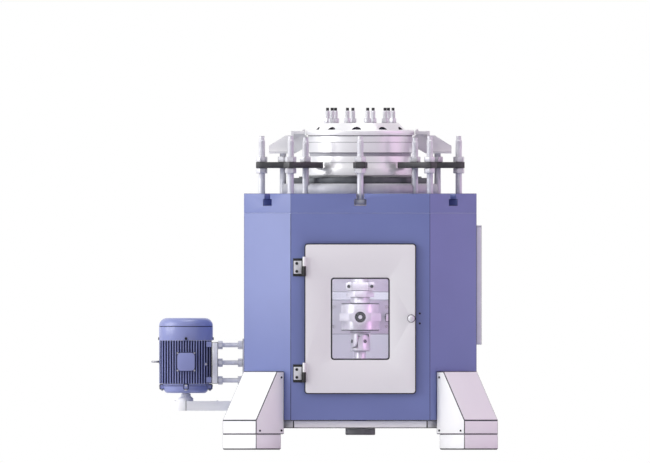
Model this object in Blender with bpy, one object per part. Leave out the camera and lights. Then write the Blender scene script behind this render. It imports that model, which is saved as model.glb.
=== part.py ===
"""Rotary bending test bench for vehicle wheels.

A truck wheel is clamped by its lower rim flange on the slotted table of a steel cabinet. A load
shaft is bolted to its disc and hangs down into the cabinet. A turning head on the lower end of
that shaft is driven through a universal joint by a belt-driven spindle, and bends the wheel.

All sizes are in metres. Shapes are drawn in the machine's own frame: Z is the spindle's axis,
the door faces -Y, the motor stands on the -X side and the floor is at Z = 0.
"""

import math

import bmesh
import bpy
from mathutils import Matrix, Vector

# Fits
GAP = 0.0003  # between two faces that rest on each other
SLIP = 0.0005  # all round a bolt or stud in its hole
RUN = 0.0006  # all round a turning shaft

# Cabinet: a square with four cut corners
CABINET_HALF = 0.593
CABINET_FLAT_HALF = 0.355
CABINET_BOTTOM = 0.150
CABINET_TOP = 1.307
WALL = 0.012
CABINET_FLANGE = 0.070
FLANGE_THICK = 0.012
DECK_HEIGHT = 0.290
DECK_THICK = 0.015
SENSOR_RAIL_LOW = 0.589
SENSOR_RAIL_HIGH = 0.765
UPPER_RAIL_LOW = 0.804
UPPER_RAIL_HIGH = 0.980
RAIL_BACK = 0.200
RAIL_THICK = 0.012

# Slotted table
TABLE_THICK = 0.100
TABLE_BORE = 0.240
SLOT_COUNT = 8
SLOT_STEM_WIDTH = 0.040
SLOT_STEM_DEPTH = 0.030
SLOT_HEAD_WIDTH = 0.061
SLOT_HEAD_HEIGHT = 0.032

# Base plate, legs and feet
BASE_INSET = 0.033
BASE_THICK = 0.040
LEG_WIDTH = 0.243
LEG_TOP = 0.400
LEG_TOP_REACH = 0.050
LEG_REACH = 0.202
LEG_PLATE = 0.010
FOOT_HEIGHT = 0.079
FOOT_DEPTH = 0.179
FOOT_CHAMFER = 0.004

# Side cover
COVER_HALF_WIDTH = 0.280
COVER_LOW = 0.536
COVER_HIGH = 1.145
COVER_DEPTH = 0.025
COVER_CORNER = 0.015

# Door, its window and its pull knob
DOOR_HALF_WIDTH = 0.280
DOOR_LOW = 0.289
DOOR_HIGH = 1.047
DOOR_DEPTH = 0.025
DOOR_CORNER = 0.012
DOOR_OVERLAP = 0.018
SHEET = 0.003
WINDOW_HALF_WIDTH = 0.150
WINDOW_LOW = 0.458
WINDOW_HIGH = 0.878
WINDOW_CORNER = 0.015
GLASS_OVERLAP = 0.011
GLASS_THICK = 0.006
KNOB_X = 0.260
KNOB_Z = 0.669
KNOB_RADIUS = 0.018
KNOB_NECK_LENGTH = 0.014
KNOB_NECK_RADIUS = 0.009
KNOB_STEM_RADIUS = 0.005

# Lift-off hinges
HINGE_BOTTOMS = (0.343, 0.884)
LEAF_LEFT = -0.343
LEAF_RIGHT = -0.292
LEAF_HEIGHT = 0.092
LEAF_THICK = 0.005
KNUCKLE_RADIUS = 0.0085
KNUCKLE_OFFSET = 0.0055
LOWER_KNUCKLE = 0.052
UPPER_KNUCKLE = 0.049
PIN_RADIUS = 0.0045
PIN_LENGTH = 0.044
LEAF_SCREW_RADIUS = 0.006

# Motor
MOTOR_X = -0.889
MOTOR_RADIUS = 0.1365
MOTOR_ROOT_RADIUS = 0.119
MOTOR_FOOT_TRIM = 0.012
MOTOR_END_WALL = 0.012
FACE_FINS = 8  # on each side of the middle one, at the front and the back
SIDE_FINS = 3  # on each side of the middle one, at the left and the right
FIN_PITCH = MOTOR_ROOT_RADIUS * 0.9 / FACE_FINS
FIN_ROOT_HALF = FIN_PITCH / 6
FIN_TIP_HALF = FIN_PITCH / 8
MOTOR_FRAME_LOW = 0.337
MOTOR_FRAME_HIGH = 0.557
STATOR_BORE = 0.070
COWL_RADIUS = 0.1375
COWL_SHOULDER = 0.041
COWL_TOP = 0.672
COWL_SHEET = 0.0025
COWL_SLOTS = 10
SHIELD_RADIUS = 0.112
SHIELD_LOW = 0.289
SHIELD_ROUND = 0.020
MOTOR_SHAFT_RADIUS = 0.019
TAIL_SHAFT_RADIUS = 0.0165
ROTOR_AIR_GAP = 0.001
FAN_RADIUS = 0.100
FAN_DISC = 0.005
FAN_HEIGHT = 0.040
FAN_BLADES = 7
MOTOR_FACE = 0.1317
TERMINAL_HALF_WIDTH = 0.048
TERMINAL_LOW = 0.399
TERMINAL_HIGH = 0.498
TERMINAL_FRONT = 0.195
TERMINAL_BACK = 0.128
EYE_Z = 0.449
EYE_REACH = 0.178
EYE_HEIGHT = 0.045
EYE_RING_RADIUS = 0.0225
EYE_HOLE_RADIUS = 0.0125
EYE_COLLAR_RADIUS = 0.0125
EYE_THICK = 0.011

# Motor mount
MOUNT_PLATE_THICK = 0.031
MOUNT_PLATE_LOW = 0.337
MOUNT_PLATE_HIGH = 0.549
MOUNT_PLATE_HALF = 0.108
PAD_THICK = 0.007
PAD_LOW = 0.320
PAD_HIGH = 0.566
MOUNT_STUD_RADIUS = 0.012
MOUNT_ROW_LOW = 0.354
MOUNT_ROW_STEP = 0.090
MOUNT_STUD_ROWS = (MOUNT_ROW_LOW, MOUNT_ROW_LOW + MOUNT_ROW_STEP, MOUNT_ROW_LOW + 2 * MOUNT_ROW_STEP)
MOUNT_STUD_Y = 0.080
MOUNT_NUT_ACROSS = 0.037
MOUNT_NUT_HEIGHT = 0.024

# Belt drive
GUARD_RADIUS = 0.066
GUARD_LOW = 0.199
GUARD_HIGH = 0.248
GUARD_SHEET = 0.003
GUARD_BOSS_RADIUS = 0.0375
GUARD_BOSS_HIGH = 0.268
GUARD_CONE_RADIUS = 0.026
GUARD_CONE_HIGH = 0.286
PULLEY_RADIUS = 0.046
PULLEY_RIM = 0.004
PULLEY_LOW = 0.2085
PULLEY_HIGH = 0.2385
PULLEY_FLANGE = 0.003
BELT_THICK = 0.005

# Spindle
SPINDLE_RADIUS = 0.031
CAP_RADIUS = 0.076
CAP_HEIGHT = 0.034
CAP_FLOOR = 0.012
HOUSING_RADIUS = 0.075
HOUSING_FLANGE_RADIUS = 0.105
HOUSING_FLANGE_THICK = 0.020
HOUSING_TOP = 0.430
HOUSING_SPIGOT_RADIUS = 0.0697
HOUSING_BOLTS = 6

# Universal joint
JOINT_CENTRE = 0.553
YOKE_BASE = 0.501
YOKE_RADIUS = 0.0515
YOKE_BASE_THICK = 0.016
EAR_INNER = 0.034
EAR_OUTER = 0.050
EAR_RADIUS = 0.033
UPPER_HUB_RADIUS = 0.033
TRUNNION_RADIUS = 0.010
CROSS_BODY = 0.021
JOINT_TURN = math.radians(30.0)

# Load head, its band, load shaft and split clamp
HEAD_FLANGE_LOW = 0.597
HEAD_FLANGE_RADIUS = 0.053
HEAD_LOW = 0.607
HEAD_HIGH = 0.747
HEAD_RADIUS = 0.097
NECK_RADIUS = 0.050
LOCK_NUT_LOW = 0.779
LOCK_NUT_HIGH = 0.801
LOCK_NUT_ACROSS = 0.139
WASHER_HIGH = 0.811
WASHER_RADIUS = 0.062
SPIGOT_RADIUS = 0.040
SPIGOT_LOW = 0.636
BAND_LOW = 0.656
BAND_HIGH = 0.697
BAND_HALF = 0.106
BAND_FLAT_HALF = 0.056
BOSS_RADIUS = 0.0425
BOSS_FACE = 0.128
BOSS_RECESS_RADIUS = 0.028
BOSS_RECESS_DEPTH = 0.006
SOCKET_ACROSS = 0.017
SOCKET_DEPTH = 0.014
LOAD_SHAFT_RADIUS = 0.044
LOAD_SHAFT_THICK_RADIUS = 0.060
LOAD_TAPER_LOW = 1.050
LOAD_TAPER_HIGH = 1.300
SHAFT_FLANGE_RADIUS = 0.110
SHAFT_FLANGE_THICK = 0.022
CLAMP_HIGH = 0.855
CLAMP_HALF_WIDTH = 0.075
CLAMP_CORNER = 0.016
CLAMP_EAR_HALF = 0.024
CLAMP_BODY_HALF = 0.0425
CLAMP_BODY_DEPTH = 0.062
CLAMP_BOLT_X = 0.059
CLAMP_BOLT_RADIUS = 0.007
CLAMP_SLIT = 0.003

# Test wheel: heights are from the wheel's lower edge
BOLT_COUNT = 10
BOLT_CIRCLE = 0.335
BOLT_HOLE_RADIUS = 0.0125
BOLT_START = math.radians(-5.0)
HUB_BORE = 0.1405
BARREL_RADIUS = 0.2655
BARREL_WAIST = BARREL_RADIUS - 0.0075
BARREL_INNER = BARREL_RADIUS - 0.0175
WAIST_LOW = 0.1027
WAIST_HIGH = 0.1157
BARREL_SWELL = 0.1747  # where the barrel has its full radius again
WHEEL_FLANGE_RADIUS = BARREL_RADIUS + 0.0295
WHEEL_FLANGE_HEIGHT = 0.0424
WHEEL_TOP_FLANGE_RADIUS = BARREL_RADIUS + 0.0105
WHEEL_TOP_FLANGE_LOW = 0.2097
WHEEL_TOP_FLANGE_HIGH = 0.2387
WHEEL_TRIM = 0.006
VALLEY_UNDER = 0.040
DISC_TOP = 0.2727
DISC_THICK = 0.014
DISC_CONE_RADIUS = BARREL_INNER - 0.022
DISC_FLAT_RADIUS = (BOLT_CIRCLE / 2 + DISC_CONE_RADIUS) / 2
HAND_HOLE_RADIUS = 0.026
HAND_HOLE_DROP = 0.020  # from the disc's top to the hole's upper edge
HAND_HOLE_START = math.radians(13.0)

# Pedestal ring and rim seat
RING_RADIUS = 0.398
RING_HEIGHT = 0.050
RING_CHAMFER = 0.016
RING_BORE = BARREL_RADIUS + 0.0065
SEAT_RADIUS = WHEEL_FLANGE_RADIUS + 0.055
SEAT_HEIGHT = 0.029
SEAT_STEP_RADIUS = WHEEL_FLANGE_RADIUS + 0.0176
SEAT_STEP = 0.007
SEAT_BORE = BARREL_INNER - 0.003

# Load hub
HUB_FLANGE_RADIUS = DISC_FLAT_RADIUS - 0.010
HUB_FLANGE_THICK = 0.030
HUB_STUD_RADIUS = 0.0105
HUB_STUD_TIP_RADIUS = 0.0095
HUB_STUD_LENGTH = 0.063
HUB_STUD_TIP = 0.015
HUB_NUT_ACROSS = 0.032
HUB_NUT_HEIGHT = 0.023

# Rim clamps: radii are from the spindle's axis
CLAMP_COUNT = 8
OUTER_STUD_AT = 0.502
INNER_STUD_AT = 0.394
CLAMP_STUD_RADIUS = 0.0165
CLAMP_STUD_TIP_RADIUS = 0.013
CLAMP_STUD_TIP = 0.018
OUTER_STUD_TOP = 1.600
INNER_STUD_TOP = 1.592
CLAMP_NUT_ACROSS = 0.050
CLAMP_NUT_HEIGHT = 0.0267
CLAMP_NUT_CHAMFER = 0.004
SLIDER_WIDTH = 0.058
SLIDER_HEIGHT = 0.027
SLIDER_OVERHANG = 0.029
STRAP_THICK = 0.031
STRAP_WIDTH = 0.073
STRAP_OUTER = 0.532
STRAP_END_WIDTH = 0.045
STRAP_TAPER = 0.032
STRAP_INNER = WHEEL_FLANGE_RADIUS - 0.010
STRAP_NOSE = 0.020

# Rim arms, on the two clamps in line with X
ARM_FOOT_Z = 1.511
ARM_FOOT_THICK = 0.010
ARM_FOOT_INNER = WHEEL_TOP_FLANGE_RADIUS + 0.074
ARM_TAIL = 0.465
ARM_TAIL_TOP = 1.550
ARM_SHOULDER = WHEEL_TOP_FLANGE_RADIUS + 0.103
ARM_SHOULDER_Z = 1.603
ARM_WEB_THICK = 0.020
ARM_PLATE_THICK = 0.0165
ARM_PLATE_OUTER = WHEEL_TOP_FLANGE_RADIUS + 0.078
ARM_PLATE_LOW = 1.580
ARM_PLATE_TOP = 1.625
ARM_HALF_WIDTH = 0.030
ARM_NOSE = WHEEL_TOP_FLANGE_RADIUS + 0.004
ARM_SCREW_AT = ARM_NOSE + 0.009
ARM_SCREW_RADIUS = 0.008
ARM_SCREW_HEIGHT = 0.010

# Points closer than this are one point
MERGE = 0.000005

# Numbers of flat sides on round shapes
FINE = 36
ROUND = 20
SMALL = 8

# Places that follow from the sizes above
SHELL_TOP = CABINET_TOP - TABLE_THICK - GAP
CHAMFER_PLANE = (CABINET_HALF + CABINET_FLAT_HALF) / math.sqrt(2.0)
DECK_TOP = DECK_HEIGHT + DECK_THICK
DOOR_BACK = -(CABINET_HALF + GAP)
DOOR_FRONT = DOOR_BACK - DOOR_DEPTH
HINGE_X = -(DOOR_HALF_WIDTH + KNUCKLE_OFFSET)
HINGE_Y = DOOR_FRONT - KNUCKLE_RADIUS - SLIP
SLOT_TOP = CABINET_TOP - SLOT_STEM_DEPTH
RING_LOW = CABINET_TOP + GAP
SEAT_LOW = RING_LOW + RING_HEIGHT
WHEEL_LOW = SEAT_LOW + GAP + SEAT_HEIGHT + SEAT_STEP
STRAP_LOW = WHEEL_LOW + WHEEL_FLANGE_HEIGHT + GAP
STRAP_TOP = STRAP_LOW + STRAP_THICK
DISC_TOP_Z = WHEEL_LOW + DISC_TOP
HUB_FLANGE_TOP = DISC_TOP_Z - DISC_THICK - GAP
HUB_FLANGE_LOW = HUB_FLANGE_TOP - HUB_FLANGE_THICK
HUB_STUD_TOP = DISC_TOP_Z + HUB_STUD_LENGTH
MOUNT_PLATE_LEFT = MOTOR_X + MOTOR_FACE + GAP
MOUNT_PLATE_RIGHT = MOUNT_PLATE_LEFT + MOUNT_PLATE_THICK
PAD_RIGHT = -(CABINET_HALF + GAP)
PAD_LEFT = PAD_RIGHT - PAD_THICK
HEAD_NECK_TOP = LOCK_NUT_LOW - GAP
LEFT_REACH = MOTOR_X - EYE_REACH
RIGHT_REACH = (CHAMFER_PLANE + LEG_REACH + LEG_WIDTH / 2) / math.sqrt(2.0)
AXIS_X = -(LEFT_REACH + RIGHT_REACH) / 2  # puts the origin under the middle of the whole bench


def clear_scene():
    """Start from an empty scene."""
    for obj in list(bpy.data.objects):
        bpy.data.objects.remove(obj, do_unlink=True)


# Outlines: lists of 2-D points


def circle(radius, sides, centre=(0.0, 0.0), turn=0.0):
    """Points of a regular polygon whose corners lie on a circle."""
    steps = (turn + math.tau * i / sides for i in range(sides))
    return [(centre[0] + radius * math.cos(a), centre[1] + radius * math.sin(a)) for a in steps]


def polygon(across_flats, sides, centre=(0.0, 0.0), turn=0.0):
    """A nut's outline, from its width across flats."""
    return circle(across_flats / 2 / math.cos(math.pi / sides), sides, centre, turn)


def rectangle(low, high):
    """The four corners between two opposite ones."""
    return [(low[0], low[1]), (high[0], low[1]), (high[0], high[1]), (low[0], high[1])]


def rounded(low, high, radius, steps=3):
    """A rectangle with round corners."""
    centres = (
        (high[0] - radius, low[1] + radius, -0.25),
        (high[0] - radius, high[1] - radius, 0.0),
        (low[0] + radius, high[1] - radius, 0.25),
        (low[0] + radius, low[1] + radius, 0.5),
    )
    points = []
    for x, y, start in centres:
        for i in range(steps + 1):
            angle = math.tau * (start + 0.25 * i / steps)
            points.append((x + radius * math.cos(angle), y + radius * math.sin(angle)))
    return points


def cut_square(half, flat_half, inset=0.0):
    """A square with four cut corners, all eight sides moved inwards by the inset."""
    far = half - inset
    near = flat_half - inset * (math.sqrt(2.0) - 1.0)
    return [
        (far, -near),
        (far, near),
        (near, far),
        (-near, far),
        (-far, near),
        (-far, -near),
        (-near, -far),
        (near, -far),
    ]


def cabinet_outline(inset=0.0):
    return cut_square(CABINET_HALF, CABINET_FLAT_HALF, inset)


def stadium(radius, left, right, steps=8):
    """A long outline with half-round ends, centred on two points of the X axis."""
    points = []
    for centre, start in ((right, -0.25), (left, 0.25)):
        for i in range(steps + 1):
            angle = math.tau * (start + 0.5 * i / steps)
            points.append((centre + radius * math.cos(angle), radius * math.sin(angle)))
    return points


def arc(centre, radius, start, end, steps):
    """Points of an arc between two angles in degrees."""
    angles = (math.radians(start + (end - start) * i / steps) for i in range(steps + 1))
    return [(centre[0] + radius * math.cos(a), centre[1] + radius * math.sin(a)) for a in angles]


# Shapes: each function returns a scratch object


def shape_from(bm):
    bmesh.ops.recalc_face_normals(bm, faces=bm.faces)
    mesh = bpy.data.meshes.new("shape")
    bm.to_mesh(mesh)
    bm.free()
    obj = bpy.data.objects.new("shape", mesh)
    bpy.context.scene.collection.objects.link(obj)
    return obj


PLANES = {
    "Z": lambda a, b, depth: (a, b, depth),
    "Y": lambda a, b, depth: (a, depth, b),
    "X": lambda a, b, depth: (depth, a, b),
}


def loft(sections, along="Z"):
    """Skin between outlines with equal numbers of points, each given with its depth."""
    place = PLANES[along]
    bm = bmesh.new()
    loops = [[bm.verts.new(place(a, b, depth)) for a, b in outline] for outline, depth in sections]
    for lower, upper in zip(loops, loops[1:]):
        for i in range(len(lower)):
            j = (i + 1) % len(lower)
            bm.faces.new((lower[i], lower[j], upper[j], upper[i]))
    bm.faces.new(loops[0])
    bm.faces.new(loops[-1])
    return shape_from(bm)


def prism(outline, low, high, along="Z"):
    return loft([(outline, low), (outline, high)], along)


def block(low, high):
    return prism(rectangle(low[:2], high[:2]), low[2], high[2])


def drum(radius, low, high, sides=ROUND, centre=(0.0, 0.0), along="Z", turn=0.0):
    return prism(circle(radius, sides, centre, turn), low, high, along)


def nut(across, seat, top, centre=(0.0, 0.0), along="Z", chamfer=0.0, turn=0.0):
    """A hexagon nut from its seat to its outer face, which may be chamfered."""
    full = polygon(across, 6, centre, turn)
    if chamfer == 0.0:
        return prism(full, seat, top, along)
    small = polygon(across - 2 * chamfer, 6, centre, turn)
    edge = top - math.copysign(chamfer / 2, top - seat)
    return loft([(full, seat), (full, edge), (small, top)], along)


def turned(profile, sides, centre=(0.0, 0.0)):
    """Spin a section, given as radius and height, about an upright axis."""
    bm = bmesh.new()
    verts = [bm.verts.new((radius, 0.0, height)) for radius, height in profile]
    edges = []
    for i, vert in enumerate(verts):
        following = verts[(i + 1) % len(verts)]
        if vert.co.x > 0.0 or following.co.x > 0.0:
            edges.append(bm.edges.new((vert, following)))
    bmesh.ops.spin(
        bm,
        geom=verts + edges,
        cent=(0.0, 0.0, 0.0),
        axis=(0.0, 0.0, 1.0),
        angle=math.tau,
        steps=sides,
        use_merge=True,
    )
    bmesh.ops.remove_doubles(bm, verts=bm.verts, dist=4 * MERGE)
    bmesh.ops.translate(bm, verts=bm.verts, vec=(centre[0], centre[1], 0.0))
    return shape_from(bm)


def moved(shape, matrix):
    shape.data.transform(matrix)
    return shape


def turned_to(shape, angle):
    """Turn a shape about the machine's own axis."""
    return moved(shape, Matrix.Rotation(angle, 4, "Z"))


def discard(shape):
    mesh = shape.data
    bpy.data.objects.remove(shape)
    bpy.data.meshes.remove(mesh)


def together(shapes):
    """Several shapes that don't touch each other, as one scratch object."""
    bm = bmesh.new()
    for shape in shapes:
        bm.from_mesh(shape.data)
        discard(shape)
    mesh = bpy.data.meshes.new("shape")
    bm.to_mesh(mesh)
    bm.free()
    obj = bpy.data.objects.new("shape", mesh)
    bpy.context.scene.collection.objects.link(obj)
    return obj


def tidy(mesh):
    """Merge the points that a Boolean leaves on top of each other."""
    bm = bmesh.new()
    bm.from_mesh(mesh)
    bmesh.ops.remove_doubles(bm, verts=bm.verts, dist=MERGE)
    bmesh.ops.dissolve_degenerate(bm, edges=bm.edges, dist=MERGE)
    bm.to_mesh(mesh)
    bm.free()


def combine(shape, tool, operation):
    modifier = shape.modifiers.new("Combine", "BOOLEAN")
    modifier.operation = operation
    modifier.solver = "EXACT"
    modifier.object = tool
    graph = bpy.context.evaluated_depsgraph_get()
    result = bpy.data.meshes.new_from_object(shape.evaluated_get(graph))
    tidy(result)
    shape.modifiers.clear()
    before = shape.data
    shape.data = result
    bpy.data.meshes.remove(before)
    discard(tool)
    return shape


def fuse(shape, *tools):
    for tool in tools:
        combine(shape, tool, "UNION")
    return shape


def carve(shape, *tools):
    for tool in tools:
        combine(shape, tool, "DIFFERENCE")
    return shape


# Finishes, pivots and nodes


def channel(value):
    """One sRGB channel, 0 to 255, as a linear value."""
    share = value / 255
    if share <= 0.04045:
        return share / 12.92
    return ((share + 0.055) / 1.055) ** 2.4


def finish(name, colour, metallic=0.0, roughness=0.5, alpha=1.0):
    material = bpy.data.materials.new(name)
    material.use_nodes = True
    shader = material.node_tree.nodes["Principled BSDF"]
    linear = [channel(int(colour[i : i + 2], 16)) for i in (1, 3, 5)]
    shader.inputs["Base Color"].default_value = (*linear, 1.0)
    shader.inputs["Metallic"].default_value = metallic
    shader.inputs["Roughness"].default_value = roughness
    shader.inputs["Alpha"].default_value = alpha
    material.diffuse_color = (*linear, alpha)
    return material


FINISHES = {
    "blue_paint": ("#7481B8", 0.0, 0.45),
    "grey_paint": ("#DADADE", 0.0, 0.5),
    "white_paint": ("#F1F0F2", 0.0, 0.5),
    "motor_paint": ("#8C93C8", 0.0, 0.42),
    "black_steel": ("#4A4A4C", 0.6, 0.5),
    "dark_steel": ("#55585A", 0.8, 0.45),
    "machined_steel": ("#E2E2E4", 0.9, 0.3),
    "wheel_paint": ("#F2F2F2", 0.2, 0.4),
    "plated_steel": ("#EDEDEF", 0.9, 0.25),
    "belt_rubber": ("#242426", 0.0, 0.8),
    "clear_glass": ("#EAF0F2", 0.0, 0.05, 0.25),
    "pale_plastic": ("#D9D9DC", 0.0, 0.35),
}


def pivot(name, place, parent=None):
    """An empty on a joint's axis, placed in the machine's frame."""
    empty = bpy.data.objects.new(name, None)
    empty.empty_display_size = 0.1
    bpy.context.scene.collection.objects.link(empty)
    empty["place"] = place
    empty.parent = parent
    start = Vector(parent["place"]) if parent else Vector((-AXIS_X, 0.0, 0.0))
    empty.location = Vector(place) - start
    return empty


def node(name, shape, material, carrier, smooth=30.0):
    """Give a finished shape its name, its finish and the pivot that carries it."""
    shape.name = name
    shape.data.name = name
    shape.data.transform(Matrix.Translation(-Vector(carrier["place"])))
    shape.parent = carrier
    shape.data.materials.clear()
    shape.data.materials.append(material)
    shape.data.shade_smooth()
    shape.data.set_sharp_from_angle(angle=math.radians(smooth))
    return shape


# Cabinet and what it stands on


def cabinet_shell():
    """Welded walls with an open front, a deck for the spindle and two cross rails."""
    shell = prism(cabinet_outline(), CABINET_BOTTOM, SHELL_TOP)
    wide = cabinet_outline(WALL)
    narrow = cabinet_outline(WALL + CABINET_FLANGE)
    past = 0.05
    carve(
        shell,
        prism(wide, CABINET_BOTTOM + FLANGE_THICK, DECK_HEIGHT),
        prism(wide, DECK_TOP, SHELL_TOP - FLANGE_THICK),
        prism(narrow, CABINET_BOTTOM - past, CABINET_BOTTOM + FLANGE_THICK + past),
        prism(narrow, SHELL_TOP - FLANGE_THICK - past, SHELL_TOP + past),
        drum(HOUSING_SPIGOT_RADIUS + GAP, DECK_HEIGHT - past, DECK_TOP + past),
    )
    opening_half = DOOR_HALF_WIDTH - DOOR_OVERLAP / 2
    carve(
        shell,
        block(
            (-opening_half, -CABINET_HALF - past, DOOR_LOW + DOOR_OVERLAP),
            (opening_half, -CABINET_HALF + past, DOOR_HIGH - DOOR_OVERLAP),
        ),
        block(
            (-CABINET_HALF - past, -GUARD_RADIUS - GAP, GUARD_LOW - GAP),
            (-CABINET_HALF + past, GUARD_RADIUS + GAP, GUARD_HIGH + GAP),
        ),
    )
    rail_half = CABINET_HALF - WALL / 2
    for low, high in ((SENSOR_RAIL_LOW, SENSOR_RAIL_HIGH), (UPPER_RAIL_LOW, UPPER_RAIL_HIGH)):
        fuse(shell, block((-rail_half, RAIL_BACK, low), (rail_half, RAIL_BACK + RAIL_THICK, high)))
    return shell


def slot_cutter(angle):
    """The T-shaped space of one slot, from the table's bore to past its edge."""
    stem = SLOT_STEM_WIDTH / 2
    head = SLOT_HEAD_WIDTH / 2
    floor = SLOT_TOP - SLOT_HEAD_HEIGHT
    above = CABINET_TOP + 0.02
    outline = [
        (-head, floor),
        (head, floor),
        (head, SLOT_TOP),
        (stem, SLOT_TOP),
        (stem, above),
        (-stem, above),
        (-stem, SLOT_TOP),
        (-head, SLOT_TOP),
    ]
    inside = TABLE_BORE - SLOT_HEAD_WIDTH / 2
    return turned_to(prism(outline, inside, CHAMFER_PLANE + 0.1, "X"), angle)


def tslot_table():
    table = prism(cabinet_outline(), CABINET_TOP - TABLE_THICK, CABINET_TOP)
    slots = together([slot_cutter(math.tau * i / SLOT_COUNT) for i in range(SLOT_COUNT)])
    bore = drum(TABLE_BORE, CABINET_TOP - 2 * TABLE_THICK, CABINET_TOP + TABLE_THICK, FINE)
    return carve(table, slots, bore)


def base_plate():
    plate = prism(cabinet_outline(BASE_INSET), CABINET_BOTTOM - GAP - BASE_THICK, CABINET_BOTTOM - GAP)
    return carve(plate, drum(SPINDLE_RADIUS + RUN, 0.0, 2 * CABINET_BOTTOM))


def leg(angle):
    """A welded box leg: closed outside, open towards the cabinet, with a rib in the middle."""
    back = CHAMFER_PLANE + GAP
    low = FOOT_HEIGHT + GAP
    front = CHAMFER_PLANE + LEG_REACH
    crown = CHAMFER_PLANE + LEG_TOP_REACH
    side = [(back, low), (front, low), (front, CABINET_BOTTOM), (crown, LEG_TOP), (back, LEG_TOP)]
    body = prism(side, -LEG_WIDTH / 2, LEG_WIDTH / 2, "Y")
    plate = LEG_PLATE
    inner = [
        (back - plate, low + plate),
        (front - plate, low + plate),
        (front - plate, CABINET_BOTTOM - plate * 0.3),
        (crown - plate * 0.5, LEG_TOP - plate),
        (back - plate, LEG_TOP - plate),
    ]
    pockets = [
        prism(inner, -LEG_WIDTH / 2 + plate, -plate / 2, "Y"),
        prism(inner, plate / 2, LEG_WIDTH / 2 - plate, "Y"),
    ]
    return turned_to(carve(body, *pockets), angle)


def foot(angle):
    front = CHAMFER_PLANE + LEG_REACH
    half = LEG_WIDTH / 2
    tall = rectangle((front - FOOT_DEPTH, -half), (front, half))
    trim = FOOT_CHAMFER
    small = rectangle((front - FOOT_DEPTH + trim, -half + trim), (front - trim, half - trim))
    return turned_to(loft([(small, 0.0), (tall, trim), (tall, FOOT_HEIGHT)]), angle)


def side_cover():
    """A folded pan on the right wall."""
    inner = CABINET_HALF + GAP
    outer = inner + COVER_DEPTH
    cover = prism(
        rounded((-COVER_HALF_WIDTH, COVER_LOW), (COVER_HALF_WIDTH, COVER_HIGH), COVER_CORNER),
        inner,
        outer,
        "X",
    )
    hollow = prism(
        rounded(
            (-COVER_HALF_WIDTH + SHEET, COVER_LOW + SHEET),
            (COVER_HALF_WIDTH - SHEET, COVER_HIGH - SHEET),
            COVER_CORNER - SHEET,
        ),
        inner - SHEET,
        outer - SHEET,
        "X",
    )
    return carve(cover, hollow)


# Door


def window_outline(grow):
    """The window's outline, made larger all round."""
    return rounded(
        (-WINDOW_HALF_WIDTH - grow, WINDOW_LOW - grow),
        (WINDOW_HALF_WIDTH + grow, WINDOW_HIGH + grow),
        WINDOW_CORNER,
    )


def door_outline(inset):
    return rounded(
        (-DOOR_HALF_WIDTH + inset, DOOR_LOW + inset),
        (DOOR_HALF_WIDTH - inset, DOOR_HIGH - inset),
        DOOR_CORNER - inset,
    )


def door_panel():
    """A folded pan with a framed window, and the upper knuckles of both hinges."""
    skin_back = DOOR_FRONT + SHEET
    past = 0.02
    panel = prism(door_outline(0.0), DOOR_FRONT, DOOR_BACK, "Y")
    hollow = prism(door_outline(SHEET), skin_back, DOOR_BACK + past, "Y")
    frame = prism(window_outline(GLASS_OVERLAP + SHEET), skin_back - past, DOOR_BACK + 2 * past, "Y")
    carve(hollow, frame)
    carve(
        panel,
        hollow,
        prism(window_outline(0.0), DOOR_FRONT - past, DOOR_BACK, "Y"),
        prism(window_outline(GLASS_OVERLAP), skin_back, DOOR_BACK + past, "Y"),
        drum(KNOB_STEM_RADIUS + SLIP, DOOR_FRONT - past, skin_back + past / 2, SMALL,
             (KNOB_X, KNOB_Z), "Y"),
    )
    for bottom in HINGE_BOTTOMS:
        low = bottom + LOWER_KNUCKLE
        high = low + UPPER_KNUCKLE
        centre = (HINGE_X, HINGE_Y)
        web = block(
            (HINGE_X - KNUCKLE_RADIUS / 3, HINGE_Y, low),
            (-DOOR_HALF_WIDTH + SHEET / 2, DOOR_BACK - DOOR_DEPTH / 3, high),
        )
        fuse(panel, web, drum(KNUCKLE_RADIUS, low, high, 2 * SMALL, centre))
        carve(panel, drum(PIN_RADIUS + SLIP, low - past / 4, high + past / 4, SMALL, centre))
    return panel


def door_glass():
    back = DOOR_FRONT + SHEET + GAP
    return prism(window_outline(GLASS_OVERLAP - SLIP), back, back + GLASS_THICK, "Y")


def door_knob():
    """A ball on a neck, with a threaded stem and its nut behind the door's skin."""
    face = DOOR_FRONT - GAP
    ball = face - KNOB_NECK_LENGTH - KNOB_RADIUS
    joint = math.degrees(math.asin(KNOB_NECK_RADIUS / 2 / KNOB_RADIUS))
    nut_face = DOOR_FRONT + SHEET + GAP
    nut_thick = KNOB_NECK_RADIUS * 0.7
    profile = [(0.0, ball - KNOB_RADIUS)]
    profile += [(r, ball + h) for r, h in arc((0.0, 0.0), KNOB_RADIUS, -70.0, 90.0 - joint, 6)]
    profile += [
        (KNOB_NECK_RADIUS * 0.7, face - KNOB_NECK_LENGTH / 2),
        (KNOB_NECK_RADIUS, face - SHEET),
        (KNOB_NECK_RADIUS, face),
        (KNOB_STEM_RADIUS, face),
        (KNOB_STEM_RADIUS, nut_face),
        (KNOB_NECK_RADIUS, nut_face),
        (KNOB_NECK_RADIUS, nut_face + nut_thick),
        (0.0, nut_face + nut_thick),
    ]
    knob = turned(profile, SMALL + SMALL // 2)
    lie_down = Matrix.Rotation(math.radians(-90.0), 4, "X")
    return moved(knob, Matrix.Translation((KNOB_X, 0.0, KNOB_Z)) @ lie_down)


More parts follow.
